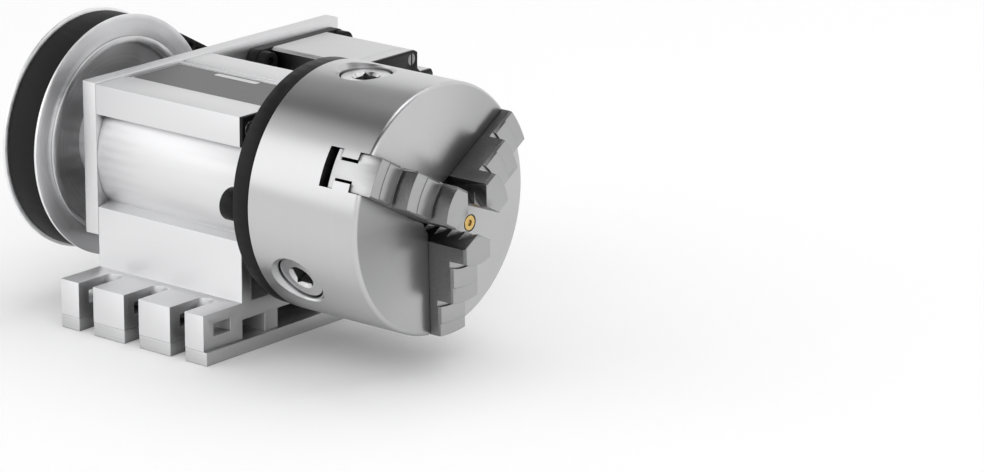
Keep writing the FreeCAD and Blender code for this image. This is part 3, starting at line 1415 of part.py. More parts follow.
def make_lock_nut():
    """Slotted ring nut that clamps the pulley on the spindle."""
    body = on_spindle("lock_nut")
    turned(body, rectangle(nut_rear, journal_radius, hub_rear, S["nut_radius"]))
    sketch = new_sketch(body, "YZ_Plane", nut_rear)
    draw_loop(sketch, rectangle(S["nut_radius"] - 2, -2.5, S["nut_radius"] + 1, 2.5))
    repeat_round(body, cut(body, sketch, S["nut_thick"]), 4)
    return body


def all_pieces():
    """Every piece of the dividing head."""
    pieces = [make_base_plate(), make_base_screws(), make_body_extrusion(), make_label_plate()]
    pieces += [make_front_cover(), make_front_cover_screws(), make_end_plate(), make_end_plate_screws()]
    pieces += make_bearings()
    adapter = make_chuck_adapter()
    drill_adapter_for_screws(adapter)
    pieces += [make_spindle(), adapter, make_adapter_screws(), make_chuck_bolts()]
    pieces += [make_chuck_body(), make_pinion_pins(), make_back_cover(), make_scroll(), make_oiler()]
    for number in range(CHUCK_STATIONS):
        pieces.append(make_jaw(number))
        pieces += make_pinion(number)
    pieces += [make_drive_pulley(), make_lock_nut(), make_drive_belt()]
    pieces.append(make_pulley_flange("pulley_flange_front", rim_front, 1))
    pieces.append(make_pulley_flange("pulley_flange_rear", rim_rear, -1))
    pieces.append(ring("pulley_spacer", hub_front, rear_bearing_end, journal_radius, S["collar_radius"]))
    pieces += make_motor()
    pieces += make_motor_shaft()
    pieces += make_motor_pulley()
    return pieces


def check(pieces):
    """Stops if any object failed or any piece is not a sound solid."""
    for item in doc.Objects:
        for state in item.State:
            if state in ("Invalid", "Error"):
                raise RuntimeError(f"{item.Label} is {state}")
    for piece in pieces:
        if piece.Shape.isNull() or not piece.Shape.isValid():
            raise RuntimeError(f"{piece.Label} has no sound shape")


def write(pieces):
    """Writes each piece to its own file."""
    os.makedirs("parts", exist_ok=True)
    for piece in pieces:
        piece.Shape.exportStep(os.path.join("parts", f"{piece.Label}.step"))
        print(piece.Label, len(piece.Shape.Solids), round(piece.Shape.Volume, 1))


pieces = all_pieces()
doc.recompute()
check(pieces)
write(pieces)
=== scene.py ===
import math

import bmesh
import bpy
from mathutils import Matrix, Vector


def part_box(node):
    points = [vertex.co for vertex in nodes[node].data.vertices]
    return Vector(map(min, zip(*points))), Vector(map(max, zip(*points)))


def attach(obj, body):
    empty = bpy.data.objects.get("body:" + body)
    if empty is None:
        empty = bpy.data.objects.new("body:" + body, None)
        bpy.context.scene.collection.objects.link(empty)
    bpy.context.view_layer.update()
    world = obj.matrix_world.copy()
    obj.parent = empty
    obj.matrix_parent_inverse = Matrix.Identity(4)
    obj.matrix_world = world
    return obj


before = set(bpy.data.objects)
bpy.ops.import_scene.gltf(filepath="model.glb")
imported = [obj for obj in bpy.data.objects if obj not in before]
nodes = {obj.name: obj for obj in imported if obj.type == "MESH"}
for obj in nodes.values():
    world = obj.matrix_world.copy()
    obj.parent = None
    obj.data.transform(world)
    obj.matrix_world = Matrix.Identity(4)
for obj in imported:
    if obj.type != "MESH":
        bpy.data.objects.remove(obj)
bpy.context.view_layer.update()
print("frame loaded:", len(nodes), "pieces")

mm = 0.001
axisHeight = 65.0          # spindle above the table
toolMark = 0.35            # width of the lines that turning leaves
motorY = (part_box("motor_flange")[0].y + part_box("motor_flange")[1].y) / 2 / mm


# materials

def nodeTree(name):
    material = bpy.data.materials.new(name)
    material.use_nodes = True
    tree = material.node_tree
    return material, tree, tree.nodes["Principled BSDF"]


def addNode(tree, kind, **settings):
    node = tree.nodes.new(kind)
    for key, value in settings.items():
        setattr(node, key, value)
    return node


def grainPattern(tree, scales):
    # noise on object coordinates, stretched by a scale for each axis
    coords = addNode(tree, "ShaderNodeTexCoord")
    stretch = addNode(tree, "ShaderNodeVectorMath", operation="MULTIPLY")
    stretch.inputs[1].default_value = scales
    tree.links.new(coords.outputs["Object"], stretch.inputs[0])
    noise = addNode(tree, "ShaderNodeTexNoise")
    noise.inputs["Scale"].default_value = 1.0
    noise.inputs["Detail"].default_value = 4.0
    noise.inputs["Roughness"].default_value = 0.6
    tree.links.new(stretch.outputs["Vector"], noise.inputs["Vector"])
    return noise.outputs["Fac"]


def fromShaft(tree, centreY):
    # place measured from a shaft, and the normal
    coords = addNode(tree, "ShaderNodeTexCoord")
    mapping = addNode(tree, "ShaderNodeMapping")
    mapping.inputs["Location"].default_value = (0, -centreY * mm, -axisHeight * mm)
    tree.links.new(coords.outputs["Object"], mapping.inputs["Vector"])
    return mapping.outputs["Vector"], coords.outputs["Normal"]


def turnedPattern(tree, centreY):
    # noise that depends only on x and on the distance from a shaft, as a turning tool leaves it
    place, normal = fromShaft(tree, centreY)
    parts = addNode(tree, "ShaderNodeSeparateXYZ")
    tree.links.new(place, parts.inputs["Vector"])
    across = addNode(tree, "ShaderNodeCombineXYZ")
    tree.links.new(parts.outputs["Y"], across.inputs["X"])
    tree.links.new(parts.outputs["Z"], across.inputs["Y"])
    reach = addNode(tree, "ShaderNodeVectorMath", operation="LENGTH")
    tree.links.new(across.outputs["Vector"], reach.inputs[0])
    line = addNode(tree, "ShaderNodeCombineXYZ")
    tree.links.new(parts.outputs["X"], line.inputs["X"])
    tree.links.new(reach.outputs["Value"], line.inputs["Y"])
    noise = addNode(tree, "ShaderNodeTexNoise")
    noise.inputs["Scale"].default_value = 1 / (toolMark * mm)
    noise.inputs["Detail"].default_value = 3.0
    noise.inputs["Roughness"].default_value = 0.65
    tree.links.new(line.outputs["Vector"], noise.inputs["Vector"])
    return noise.outputs["Fac"]


def spread(tree, source, low, high):
    # 0.3 to 0.7 of a noise, spread over low to high
    node = addNode(tree, "ShaderNodeMapRange")
    node.inputs["From Min"].default_value = 0.3
    node.inputs["From Max"].default_value = 0.7
    node.inputs["To Min"].default_value = low
    node.inputs["To Max"].default_value = high
    tree.links.new(source, node.inputs["Value"])
    return node.outputs["Result"]


def shadeColour(tree, source, dark, light):
    ramp = addNode(tree, "ShaderNodeValToRGB")
    ramp.color_ramp.elements[0].position = 0.3
    ramp.color_ramp.elements[0].color = (*dark, 1)
    ramp.color_ramp.elements[1].position = 0.7
    ramp.color_ramp.elements[1].color = (*light, 1)
    tree.links.new(source, ramp.inputs["Fac"])
    return ramp.outputs["Color"]


def alongGroove(tree, shader, centreY):
    # direction of the tool marks round a shaft, for the long highlights of turned metal
    place, normal = fromShaft(tree, centreY)
    around = addNode(tree, "ShaderNodeVectorMath", operation="CROSS_PRODUCT")
    around.inputs[0].default_value = (1, 0, 0)
    tree.links.new(place, around.inputs[1])
    turned = addNode(tree, "ShaderNodeVectorTransform", vector_type="VECTOR", convert_from="OBJECT",
                     convert_to="WORLD")
    tree.links.new(around.outputs["Vector"], turned.inputs["Vector"])
    unit = addNode(tree, "ShaderNodeVectorMath", operation="NORMALIZE")
    tree.links.new(turned.outputs["Vector"], unit.inputs[0])
    tree.links.new(unit.outputs["Vector"], shader.inputs["Tangent"])
    shader.inputs["Anisotropic Rotation"].default_value = 0.25


def paintNookShade(tree, colour, reach, floorLevel, shut=0.15, clear=0.78):
    # painted shade: colour darkened by ambient occlusion in nooks, creases, seams and between parts, where shade
    # falls; reach in mm, the darkest level, and the openness at which the shade is full and gone
    nook = addNode(tree, "ShaderNodeAmbientOcclusion", samples=8)
    nook.inputs["Distance"].default_value = reach * mm
    level = addNode(tree, "ShaderNodeMapRange")
    level.inputs["From Min"].default_value = shut
    level.inputs["From Max"].default_value = clear
    level.inputs["To Min"].default_value = floorLevel
    level.inputs["To Max"].default_value = 1.0
    tree.links.new(nook.outputs["AO"], level.inputs["Value"])
    dimmed = addNode(tree, "ShaderNodeVectorMath", operation="SCALE")
    tree.links.new(colour, dimmed.inputs[0])
    tree.links.new(level.outputs["Result"], dimmed.inputs["Scale"])
    return dimmed.outputs["Vector"]


def fromSpindle(tree):
    # place measured from the spindle, its direction away from it, and the normal
    place, normal = fromShaft(tree, 0)
    flat = addNode(tree, "ShaderNodeVectorMath", operation="MULTIPLY")
    flat.inputs[1].default_value = (0, 1, 1)
    tree.links.new(place, flat.inputs[0])
    outward = addNode(tree, "ShaderNodeVectorMath", operation="NORMALIZE")
    tree.links.new(flat.outputs["Vector"], outward.inputs[0])
    return place, outward.outputs["Vector"], normal


def facing(tree, normal, direction, low, high):
    # 0 to 1 as a face turns towards a direction
    along = addNode(tree, "ShaderNodeVectorMath", operation="DOT_PRODUCT")
    tree.links.new(normal, along.inputs[0])
    if isinstance(direction, tuple):
        along.inputs[1].default_value = direction
    else:
        tree.links.new(direction, along.inputs[1])
    level = addNode(tree, "ShaderNodeMapRange")
    level.inputs["From Min"].default_value = low
    level.inputs["From Max"].default_value = high
    tree.links.new(along.outputs["Value"], level.inputs["Value"])
    return level.outputs["Result"]


def mixColour(tree, amount, under, over):
    mix = addNode(tree, "ShaderNodeMix", data_type="RGBA")
    tree.links.new(amount, mix.inputs[0])
    for socket, value in ((mix.inputs[6], under), (mix.inputs[7], over)):
        if isinstance(value, tuple):
            socket.default_value = (*value, 1)
        else:
            tree.links.new(value, socket)
    return mix.outputs[2]


def jawPaint(tree, colour):
    # flanks stay dark from hardening; treads are ground, and the outer ends are ground with the chuck
    place, outward, normal = fromSpindle(tree)
    treads = mixColour(tree, facing(tree, normal, (1, 0, 0), 0.9, 0.98), colour, jawTones["tread"])
    reach = addNode(tree, "ShaderNodeVectorMath", operation="DOT_PRODUCT")
    tree.links.new(place, reach.inputs[0])
    tree.links.new(outward, reach.inputs[1])
    atEnd = addNode(tree, "ShaderNodeMath", operation="GREATER_THAN")
    atEnd.inputs[1].default_value = jawTones["endReach"] * mm
    tree.links.new(reach.outputs["Value"], atEnd.inputs[0])
    ends = addNode(tree, "ShaderNodeMath", operation="MULTIPLY")
    tree.links.new(facing(tree, normal, outward, 0.8, 0.97), ends.inputs[0])
    tree.links.new(atEnd.outputs["Value"], ends.inputs[1])
    return mixColour(tree, ends.outputs["Value"], treads, jawTones["end"])


def shadeCutEnds(tree, colour):
    # painted shade: faces turned towards +X are darkened to a flat tone for the shade they sit in; sawn and milled
    # faces across the bar are also somewhat duller than its drawn sides
    normal = addNode(tree, "ShaderNodeTexCoord").outputs["Normal"]
    return mixColour(tree, facing(tree, normal, (1, 0, 0), 0.6, 0.95), colour, cutEndShade)


def shadeStackSide(tree, colour):
    # painted shade: the side of the motor that faces -Y, next to the body, is darkened for the shade it stands in
    normal = addNode(tree, "ShaderNodeTexCoord").outputs["Normal"]
    return mixColour(tree, facing(tree, normal, (0, -1, 0), 0.9, 0.98), colour, stackShade)


def paintFaceSheen(tree, colour):
    # painted reflection: broad soft light and dark sectors on the chuck's turned face, by angle round the spindle,
    # standing in for the sheen of turned metal; they turn with the chuck
    place, outward, normal = fromSpindle(tree)
    parts = addNode(tree, "ShaderNodeSeparateXYZ")
    tree.links.new(outward, parts.inputs["Vector"])
    angle = addNode(tree, "ShaderNodeMath", operation="ARCTAN2")
    tree.links.new(parts.outputs["Z"], angle.inputs[0])
    tree.links.new(parts.outputs["Y"], angle.inputs[1])
    turns = addNode(tree, "ShaderNodeMapRange")
    turns.inputs["From Min"].default_value = -math.pi
    turns.inputs["From Max"].default_value = math.pi
    tree.links.new(angle.outputs["Value"], turns.inputs["Value"])
    ramp = addNode(tree, "ShaderNodeValToRGB")
    ramp.color_ramp.interpolation = "B_SPLINE"
    stops = ramp.color_ramp.elements
    stops[0].color = stops[1].color = (*[sheenSectorTones[0][1]] * 3, 1)
    for degrees, tone in sheenSectorTones[1:]:
        stops.new((degrees + 180) / 360).color = (tone, tone, tone, 1)
    tree.links.new(turns.outputs["Result"], ramp.inputs["Fac"])
    shaded = addNode(tree, "ShaderNodeMix", data_type="RGBA", blend_type="MULTIPLY")
    tree.links.new(facing(tree, normal, (1, 0, 0), 0.9, 0.99), shaded.inputs[0])
    tree.links.new(colour, shaded.inputs[6])
    tree.links.new(ramp.outputs["Color"], shaded.inputs[7])
    return shaded.outputs[2]


def metalFinish(name, finish, pattern, paint=None):
    # pattern: a function of the tree that gives the grain; paint: one that changes the colour by place
    material, tree, shader = nodeTree(name)
    shader.inputs["Metallic"].default_value = finish["metallic"]
    shader.inputs["Specular IOR Level"].default_value = finish.get("shine", 0.5)
    grain = pattern(tree)
    colour = shadeColour(tree, grain, finish["dark"], finish["light"])
    if paint:
        colour = paint(tree, colour)
    # painted shade: colour darkened in nooks and between parts
    colour = paintNookShade(tree, colour, *finish.get("nookShade", (3.0, 0.45)))
    tree.links.new(colour, shader.inputs["Base Color"])
    tree.links.new(spread(tree, grain, *finish["roughness"]), shader.inputs["Roughness"])
    bump = addNode(tree, "ShaderNodeBump")
    bump.inputs["Strength"].default_value = finish["bump"]
    bump.inputs["Distance"].default_value = 0.02 * mm
    tree.links.new(grain, bump.inputs["Height"])
    tree.links.new(bump.outputs["Normal"], shader.inputs["Normal"])
    if "anisotropic" in finish:
        shader.inputs["Anisotropic"].default_value = finish["anisotropic"]
        alongGroove(tree, shader, finish.get("shaftY", 0))
    return material


def grey(value):
    return (value, value, value * 1.01)


# painted shade: the tone of faces turned towards +X
cutEndShade = grey(0.46)
# painted shade: the tone of the motor's side next to the body
stackShade = grey(0.12)
jawTones = {"tread": grey(0.42), "end": grey(0.52), "endReach": 46.0}
# painted reflection: tone of the chuck's face by angle from +Y towards +Z
sheenSectorTones = [(-180, 0.52), (-165, 0.55), (-130, 0.78), (-95, 0.92), (-60, 0.90), (-15, 0.84), (15, 0.95),
               (40, 0.74), (58, 0.72), (82, 0.92), (110, 1.0), (140, 0.98), (160, 0.66)]
# in each finish, the entry for nooks gives painted shade, not dirt: reach in mm, darkest level, and the openness at
# which the shade is full and gone
anodised = {"metallic": 1.0, "dark": grey(0.79), "light": grey(0.80), "roughness": (0.475, 0.485), "bump": 0.0,
            "nookShade": (12.0, 0.05, 0.05, 0.5)}
basePlate = {"metallic": 1.0, "dark": grey(0.62), "light": grey(0.69), "roughness": (0.42, 0.50), "bump": 0.06,
             "nookShade": (12.0, 0.05, 0.02, 0.4)}
endPlate = {"metallic": 1.0, "dark": grey(0.71), "light": grey(0.76), "roughness": (0.42, 0.48), "bump": 0.04,
            "nookShade": (5.0, 0.1, 0.05, 0.5)}
pulleyMetal = {"metallic": 1.0, "dark": grey(0.60), "light": grey(0.72), "roughness": (0.28, 0.38), "bump": 0.12,
               "anisotropic": 0.6}
smallPulleyMetal = {"metallic": 1.0, "dark": grey(0.50), "light": grey(0.62), "roughness": (0.28, 0.38),
                    "bump": 0.12, "anisotropic": 0.6, "shaftY": motorY}
blackAnodised = {"metallic": 0.0, "dark": grey(0.009), "light": grey(0.014), "roughness": (0.38, 0.48),
                 "bump": 0.06, "shine": 0.15}
groundSteel = {"metallic": 1.0, "dark": grey(0.565), "light": grey(0.59), "roughness": (0.28, 0.31), "bump": 0.02,
               "anisotropic": 0.65, "nookShade": (30.0, 0.25)}
hardSteel = {"metallic": 1.0, "dark": grey(0.17), "light": grey(0.22), "roughness": (0.30, 0.38), "bump": 0.05,
             "nookShade": (1.2, 0.12)}
pinionSteel = {"metallic": 1.0, "dark": grey(0.64), "light": grey(0.70), "roughness": (0.20, 0.25), "bump": 0.01,
               "nookShade": (1.6, 0.2)}
turnedSteel = {"metallic": 1.0, "dark": grey(0.56), "light": grey(0.66), "roughness": (0.22, 0.32), "bump": 0.10}
sheetSteel = {"metallic": 1.0, "dark": grey(0.86), "light": grey(0.92), "roughness": (0.38, 0.44), "bump": 0.06,
              "anisotropic": 0.35}
brightScrew = {"metallic": 1.0, "dark": grey(0.60), "light": grey(0.68), "roughness": (0.24, 0.32), "bump": 0.05}
blackScrew = {"metallic": 0.0, "dark": grey(0.010), "light": grey(0.016), "roughness": (0.34, 0.44), "bump": 0.05,
              "shine": 0.1}
darkScrew = {"metallic": 1.0, "dark": grey(0.22), "light": grey(0.30), "roughness": (0.26, 0.34), "bump": 0.05}
brass = {"metallic": 1.0, "dark": (0.60, 0.40, 0.13), "light": (0.72, 0.52, 0.20), "roughness": (0.2, 0.3),
         "bump": 0.05}
beltRubber = {"metallic": 0.0, "dark": grey(0.008), "light": grey(0.013), "roughness": (0.55, 0.7), "bump": 0.3,
               "shine": 0.2}
motorPaint = {"metallic": 0.0, "dark": grey(0.008), "light": grey(0.013), "roughness": (0.34, 0.44), "bump": 0.15,
              "shine": 0.2}
stackSteel = {"metallic": 1.0, "dark": grey(0.62), "light": grey(0.72), "roughness": (0.36, 0.44), "bump": 0.08,
              "nookShade": (24.0, 0.0)}
labelPale = {"metallic": 0.0, "dark": grey(0.55), "light": grey(0.62), "roughness": (0.35, 0.45), "bump": 0.03}
labelFilm = {"metallic": 0.0, "dark": grey(0.030), "light": grey(0.040), "roughness": (0.28, 0.34), "bump": 0.03,
             "shine": 0.4}


def alongX(tree):
    return grainPattern(tree, (60, 2500, 2500))


def alongY(tree):
    return grainPattern(tree, (2500, 60, 2500))


def evenGrain(tree):
    return grainPattern(tree, (1200, 1200, 1200))


def onSpindle(tree):
    return turnedPattern(tree, 0)


def onMotor(tree):
    return turnedPattern(tree, motorY)


finishes = {
    "extrusion": metalFinish("clearAnodised", anodised, alongX, shadeCutEnds),
    "basePlate": metalFinish("basePlateAluminium", basePlate, alongX, shadeCutEnds),
    "endPlate": metalFinish("endPlateAluminium", endPlate, alongY),
    "black": metalFinish("blackAnodised", blackAnodised, onSpindle),
    "chuck": metalFinish("groundChuck", groundSteel, onSpindle, paintFaceSheen),
    "jaw": metalFinish("hardenedJaw", hardSteel, evenGrain, jawPaint),
    "turned": metalFinish("turnedSpindle", turnedSteel, onSpindle),
    "pinion": metalFinish("turnedPinion", pinionSteel, evenGrain),
    "pulley": metalFinish("turnedPulley", pulleyMetal, onSpindle),
    "smallPulley": metalFinish("turnedSmallPulley", smallPulleyMetal, onMotor),
    "sheet": metalFinish("sheetFlange", sheetSteel, onSpindle),
    "brightScrew": metalFinish("brightScrew", brightScrew, evenGrain),
    "blackScrew": metalFinish("blackScrew", blackScrew, evenGrain),
    "darkScrew": metalFinish("darkScrew", darkScrew, evenGrain),
    "brass": metalFinish("oilerBrass", brass, evenGrain),
    "belt": metalFinish("beltRubber", beltRubber, evenGrain),
    "motorBlack": metalFinish("motorPaint", motorPaint, evenGrain),
    "stack": metalFinish("stackSteel", stackSteel, alongX, shadeStackSide),
    "label": metalFinish("labelFilm", labelFilm, evenGrain),
    "labelPale": metalFinish("labelPale", labelPale, evenGrain),
}
# finish of each CAD piece, and how far its edges are broken
nodeLooks = {
    "base_plate": ("basePlate", 0.35), "base_screws": ("blackScrew", 0.2), "body_extrusion": ("extrusion", 0.15),
    "label_plate": ("extrusion", 0.15), "front_cover": ("black", 0.25), "front_cover_screws": ("brightScrew", 0.15),
    "end_plate": ("endPlate", 0.3), "end_plate_screws": ("blackScrew", 0.2),
    "front_bearing_outer": ("turned", 0.2), "front_bearing_inner": ("turned", 0.2),
    "rear_bearing_outer": ("turned", 0.2), "rear_bearing_inner": ("turned", 0.2),
    "outer_sleeve": ("turned", 0.2), "inner_sleeve": ("turned", 0.2), "spindle": ("turned", 0.2),
    "chuck_adapter": ("black", 0.4), "adapter_screws": ("blackScrew", 0.2), "chuck_bolts": ("blackScrew", 0.2),
    "chuck_body": ("chuck", 0), "pinion_pins": ("turned", 0.15), "chuck_back_cover": ("chuck", 0.2),
    "scroll_plate": ("jaw", 0.15), "oiler": ("brass", 0.15), "jaw_1": ("jaw", 0.15), "jaw_2": ("jaw", 0.15),
    "jaw_3": ("jaw", 0.15), "pinion_1": ("pinion", 0), "pinion_2": ("pinion", 0),
    "pinion_3": ("pinion", 0), "pinion_gear_1": ("pinion", 0.1), "pinion_gear_2": ("pinion", 0.1),
    "pinion_gear_3": ("pinion", 0.1), "drive_pulley": ("pulley", 0.2), "lock_nut": ("blackScrew", 0.2),
    "drive_belt": ("belt", 0.2), "pulley_flange_front": ("sheet", 0.15), "pulley_flange_rear": ("sheet", 0.15),
    "pulley_spacer": ("turned", 0.2), "motor_flange": ("motorBlack", 0.3), "motor_stack": ("stack", 0.15),
    "motor_end_bell": ("stack", 0.25), "motor_rear_cap": ("motorBlack", 0.25),
    "motor_tie_screws": ("darkScrew", 0), "motor_mount_screws": ("blackScrew", 0.2),
    "motor_shaft": ("turned", 0.2), "motor_rotor_core": ("stack", 0.2), "motor_pulley": ("smallPulley", 0.15),
    "pulley_set_screw": ("blackScrew", 0.1),
}
# how CAD meshes are made ready for broken edges: mm to weld, degrees that count as flat, as an edge, as a split
edgeWork = {"weld": 0.002, "flat": 0.2, "edge": 28, "split": 25}
for word, piece in nodes.items():
    finish, edge = nodeLooks[word]
    piece.data.materials.clear()
    piece.data.materials.append(finishes[finish])
    for face in piece.data.polygons:
        face.use_smooth = True
    weld = piece.modifiers.new("weld", "WELD")
    weld.merge_threshold = edgeWork["weld"] * mm
    if not edge:
        split = piece.modifiers.new("split", "EDGE_SPLIT")
        split.split_angle = math.radians(edgeWork["split"])
        continue
    flat = piece.modifiers.new("flat", "DECIMATE")
    flat.decimate_type = "DISSOLVE"
    flat.angle_limit = math.radians(edgeWork["flat"])
    broken = piece.modifiers.new("brokenEdges", "BEVEL")
    broken.width = edge * mm
    broken.segments = 2
    broken.limit_method = "ANGLE"
    broken.angle_limit = math.radians(edgeWork["edge"])
    broken.use_clamp_overlap = False
    broken.harden_normals = True
print("finishes on the frame")


# pieces of the scene's own

def newPiece(name, mesh, finish, body):
    data = bpy.data.meshes.new(name)
    mesh.to_mesh(data)
    mesh.free()
    data.materials.append(finishes[finish])
    piece = bpy.data.objects.new(name, data)
    bpy.context.scene.collection.objects.link(piece)
    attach(piece, body)
    return piece


def slab(low, high, roundness):
    # a thin block with its upright edges rounded, in millimetres
    low, high = Vector(low) * mm, Vector(high) * mm
    mesh = bmesh.new()
    size = high - low
    place = Matrix.Translation((low + high) / 2) @ Matrix.Diagonal((*size, 1))
    bmesh.ops.create_cube(mesh, size=1, matrix=place)
    upright = [edge for edge in mesh.edges if abs(edge.verts[0].co.z - edge.verts[1].co.z) > size.z / 2]
    bmesh.ops.bevel(mesh, geom=upright, offset=roundness * mm, segments=5, profile=0.5, affect="EDGES", material=-1)
    return mesh


labelLook = {"edge": 0.8, "film": 0.06, "sunk": 0.02, "round": 1.2, "barX": (-15, 8), "barY": (9.2, 12.4),
             "bar": 0.08, "barFoot": 0.04, "barRound": 1.0}
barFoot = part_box("label_plate")[1].z / mm + labelLook["barFoot"]
plateLow, plateHigh = (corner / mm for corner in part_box("label_plate"))
edge, top = labelLook["edge"], plateHigh.z
newPiece("labelFilm", slab((plateLow.x + edge, plateLow.y + edge, top - labelLook["sunk"]),
                           (plateHigh.x - edge, plateHigh.y - edge, top + labelLook["film"]), labelLook["round"]),
         "label", "headstock")
newPiece("labelBar", slab((labelLook["barX"][0], labelLook["barY"][0], barFoot),
                          (labelLook["barX"][1], labelLook["barY"][1], barFoot + labelLook["bar"]),
                          labelLook["barRound"]),
         "labelPale", "headstock")
print("label film")

# teeth inside the belt on its two free runs; on the pulleys they would be hidden, and as the belt stays put they
# would cut through a pulley that turns, so each run keeps clear of both pulleys' teeth
beltTeeth = {"pitch": 5.0, "large": 60, "small": 10, "rootDrop": 0.45, "tipDrop": 2.35,
             "rootHalf": 1.25, "tipHalf": 0.9, "round": 0.3, "sideGap": 0.05,
             "largeGap": 14.2, "smallGap": 6.3, "halfCount": 36}
bandLow, bandHigh = (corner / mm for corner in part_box("drive_belt"))
largeRadius = beltTeeth["large"] * beltTeeth["pitch"] / (2 * math.pi)
smallRadius = beltTeeth["small"] * beltTeeth["pitch"] / (2 * math.pi)
leaveAngle = math.acos((largeRadius - smallRadius) / motorY)
run = motorY * math.sin(leaveAngle)
tooth = bmesh.new()
deep = beltTeeth["tipDrop"] - beltTeeth["rootDrop"]
bmesh.ops.create_cube(tooth, size=1, matrix=Matrix.Diagonal((bandHigh.x - bandLow.x - 2 * beltTeeth["sideGap"],
                                                             deep, 2 * beltTeeth["rootHalf"], 1)))
for vert in tooth.verts:
    if vert.co.y < 0:
        vert.co.z *= beltTeeth["tipHalf"] / beltTeeth["rootHalf"]
tipEdges = [edge for edge in tooth.edges
            if all(vert.co.y < 0 for vert in edge.verts) and abs(edge.verts[0].co.x - edge.verts[1].co.x) > 1]
bmesh.ops.bevel(tooth, geom=tipEdges, offset=beltTeeth["round"], segments=2, profile=0.5, affect="EDGES", material=-1)
toothData = bpy.data.meshes.new("toothShape")
tooth.to_mesh(toothData)
tooth.free()
teeth = bmesh.new()
middle = (bandLow.x + bandHigh.x) / 2
largeArc = largeRadius * (math.pi - leaveAngle)
reach = largeRadius - (beltTeeth["rootDrop"] + beltTeeth["tipDrop"]) / 2
for side in (1, -1):
    for number in range(1, beltTeeth["halfCount"]):
        forward = number * beltTeeth["pitch"] - largeArc
        if not beltTeeth["largeGap"] <= forward <= run - beltTeeth["smallGap"]:
            continue
        y = reach * math.cos(leaveAngle) + forward * math.sin(leaveAngle)
        z = reach * math.sin(leaveAngle) - forward * math.cos(leaveAngle)
        before = len(teeth.verts)
        teeth.from_mesh(toothData)
        teeth.verts.ensure_lookup_table()
        placed = Matrix.Translation((middle, y, axisHeight + side * z)) @ Matrix.Rotation(side * leaveAngle, 4, "X")
        bmesh.ops.transform(teeth, matrix=Matrix.Scale(mm, 4) @ placed, verts=teeth.verts[before:])
bpy.data.meshes.remove(toothData)
newPiece("beltTeeth", teeth, "belt", "headstock")
print("belt teeth")


# studio

# fitted to the photograph: degrees, millimetres, and the focal length in pixels
camera = {"azimuth": 39.39, "elevation": 16.61, "roll": 0.21, "distance": 1695.94, "right": 106.67, "up": -30.95,
          "focal": 4228.62, "imageWidth": 984, "sensor": 36}
azimuth = math.radians(camera["azimuth"])
elevation = math.radians(camera["elevation"])
back = Vector((math.sin(azimuth) * math.cos(elevation), -math.cos(azimuth) * math.cos(elevation),
               math.sin(elevation)))
right = (-back).cross(Vector((0, 0, 1))).normalized()
up = right.cross(-back)
roll = math.radians(camera["roll"])
rightTurned = right * math.cos(roll) + up * math.sin(roll)
upTurned = up * math.cos(roll) - right * math.sin(roll)
lens = bpy.data.cameras.new("camera")
lens.sensor_width = camera["sensor"]
lens.lens = camera["focal"] / camera["imageWidth"] * camera["sensor"]
lens.clip_start = 0.1
lens.clip_end = 30
eye = bpy.data.objects.new("camera", lens)
bpy.context.scene.collection.objects.link(eye)
place = Vector((0, 0, axisHeight)) + camera["right"] * rightTurned + camera["up"] * upTurned
place += camera["distance"] * back
turn = Matrix((rightTurned, upTurned, back)).transposed().to_4x4()
eye.matrix_world = Matrix.Translation(place * mm) @ turn
bpy.context.scene.camera = eye

floorLook = {"size": 12.0, "colour": 0.90, "glow": 0.10}
floorMesh = bmesh.new()
bmesh.ops.create_grid(floorMesh, x_segments=1, y_segments=1, size=floorLook["size"] / 2)
floorData = bpy.data.meshes.new("floor")
floorMesh.to_mesh(floorData)
floorMesh.free()
floor = bpy.data.objects.new("floor", floorData)
bpy.context.scene.collection.objects.link(floor)
floorMaterial, floorTree, floorShader = nodeTree("floorPaper")
floorShader.inputs["Base Color"].default_value = (*[floorLook["colour"]] * 3, 1)
floorShader.inputs["Roughness"].default_value = 0.9
floorShader.inputs["Specular IOR Level"].default_value = 0.1
# the paper's white for the camera and for reflections; the light that it gives back stays as it is
floorRays = addNode(floorTree, "ShaderNodeLightPath")
floorShown = addNode(floorTree, "ShaderNodeMath", operation="MAXIMUM")
floorGlow = addNode(floorTree, "ShaderNodeMath", operation="MULTIPLY")
floorGlow.inputs[1].default_value = floorLook["glow"]
floorTree.links.new(floorRays.outputs["Is Camera Ray"], floorShown.inputs[0])
floorTree.links.new(floorRays.outputs["Is Glossy Ray"], floorShown.inputs[1])
floorTree.links.new(floorShown.outputs["Value"], floorGlow.inputs[0])
floorShader.inputs["Emission Color"].default_value = (1, 1, 1, 1)
floorTree.links.new(floorGlow.outputs["Value"], floorShader.inputs["Emission Strength"])
floorData.materials.append(floorMaterial)

# strength of the sky as light, and as the camera and reflections see it
skyLook = {"plain": 0.65, "shown": 1.0}
world = bpy.data.worlds.new("studio")
bpy.context.scene.world = world
world.use_nodes = True
sky = world.node_tree
for old in list(sky.nodes):
    sky.nodes.remove(old)
skyOut = addNode(sky, "ShaderNodeOutputWorld")
skyMix = addNode(sky, "ShaderNodeMixShader")
plainSky = addNode(sky, "ShaderNodeBackground")
plainSky.inputs["Color"].default_value = (1, 1, 1, 1)
plainSky.inputs["Strength"].default_value = skyLook["plain"]
shownSky = addNode(sky, "ShaderNodeBackground")
shownSky.inputs["Color"].default_value = (1, 1, 1, 1)
shownSky.inputs["Strength"].default_value = skyLook["shown"]
rays = addNode(sky, "ShaderNodeLightPath")
shown = addNode(sky, "ShaderNodeMath", operation="MAXIMUM")
sky.links.new(rays.outputs["Is Camera Ray"], shown.inputs[0])
sky.links.new(rays.outputs["Is Glossy Ray"], shown.inputs[1])
shownToo = addNode(sky, "ShaderNodeMath", operation="MAXIMUM")
sky.links.new(shown.outputs["Value"], shownToo.inputs[0])
sky.links.new(rays.outputs["Is Transmission Ray"], shownToo.inputs[1])
sky.links.new(shownToo.outputs["Value"], skyMix.inputs["Fac"])
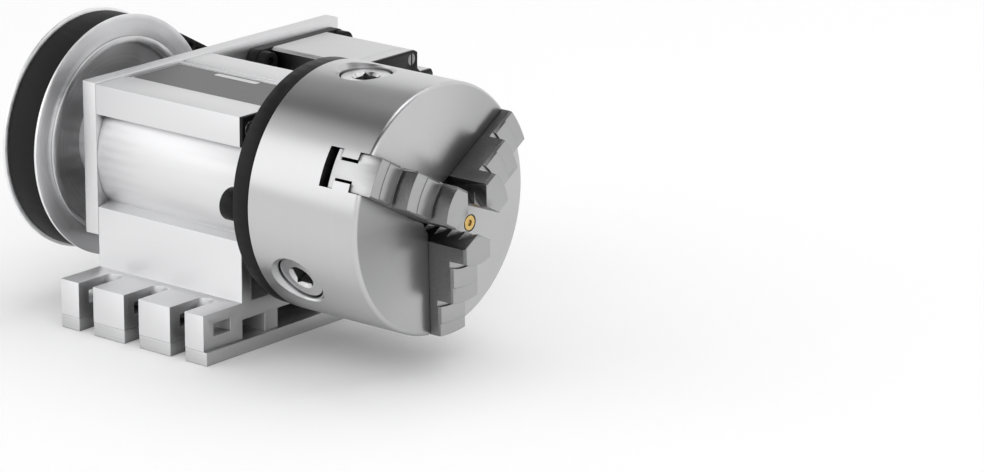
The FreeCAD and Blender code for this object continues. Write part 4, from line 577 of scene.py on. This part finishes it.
sky.links.new(plainSky.outputs["Background"], skyMix.inputs[1])
sky.links.new(shownSky.outputs["Background"], skyMix.inputs[2])
sky.links.new(skyMix.outputs["Shader"], skyOut.inputs["Surface"])

# a grey hoop overhead that only reflections see, as a photographer hangs a card over bright metal
hoop = {"lowRadius": 2.3, "lowHeight": 1.95, "highRadius": 0.9, "highHeight": 2.6, "grey": 0.05}
hoopMesh = bmesh.new()
bmesh.ops.create_cone(hoopMesh, cap_ends=False, segments=96, radius1=hoop["lowRadius"], radius2=hoop["highRadius"],
                      depth=hoop["highHeight"] - hoop["lowHeight"],
                      matrix=Matrix.Translation((0, 0, (hoop["highHeight"] + hoop["lowHeight"]) / 2)))


def hangCard(name, mesh, tone):
    # a card that only reflections see
    data = bpy.data.meshes.new(name)
    mesh.to_mesh(data)
    mesh.free()
    card = bpy.data.objects.new(name, data)
    bpy.context.scene.collection.objects.link(card)
    material, tree, shader = nodeTree(name)
    shader.inputs["Base Color"].default_value = (tone, tone, tone, 1)
    shader.inputs["Roughness"].default_value = 0.9
    shader.inputs["Specular IOR Level"].default_value = 0.0
    data.materials.append(material)
    card.visible_camera = False
    card.visible_diffuse = False
    card.visible_shadow = False


hangCard("greyHoop", hoopMesh, hoop["grey"])

lamps = {
    "keyLamp": {"place": (-1.29, -1.29, 1.11), "size": 2.0, "watts": 7.5},
    "fillLamp": {"place": (1.4, -0.9, 0.9), "size": 1.2, "watts": 5},
    "topLamp": {"place": (0.2, 0.7, 1.8), "size": 1.8, "watts": 12},
}
aim = Vector((0.01, 0.03, 0.06))
for word, lamp in lamps.items():
    light = bpy.data.lights.new(word, "AREA")
    light.shape = "SQUARE"
    light.size = lamp["size"]
    light.energy = lamp["watts"]
    holder = bpy.data.objects.new(word, light)
    bpy.context.scene.collection.objects.link(holder)
    holder.location = lamp["place"]
    holder.rotation_mode = "QUATERNION"
    holder.rotation_quaternion = (aim - Vector(lamp["place"])).to_track_quat("-Z", "Y")

bpy.context.scene.view_settings.view_transform = "Standard"
print("studio ready")

print("done")
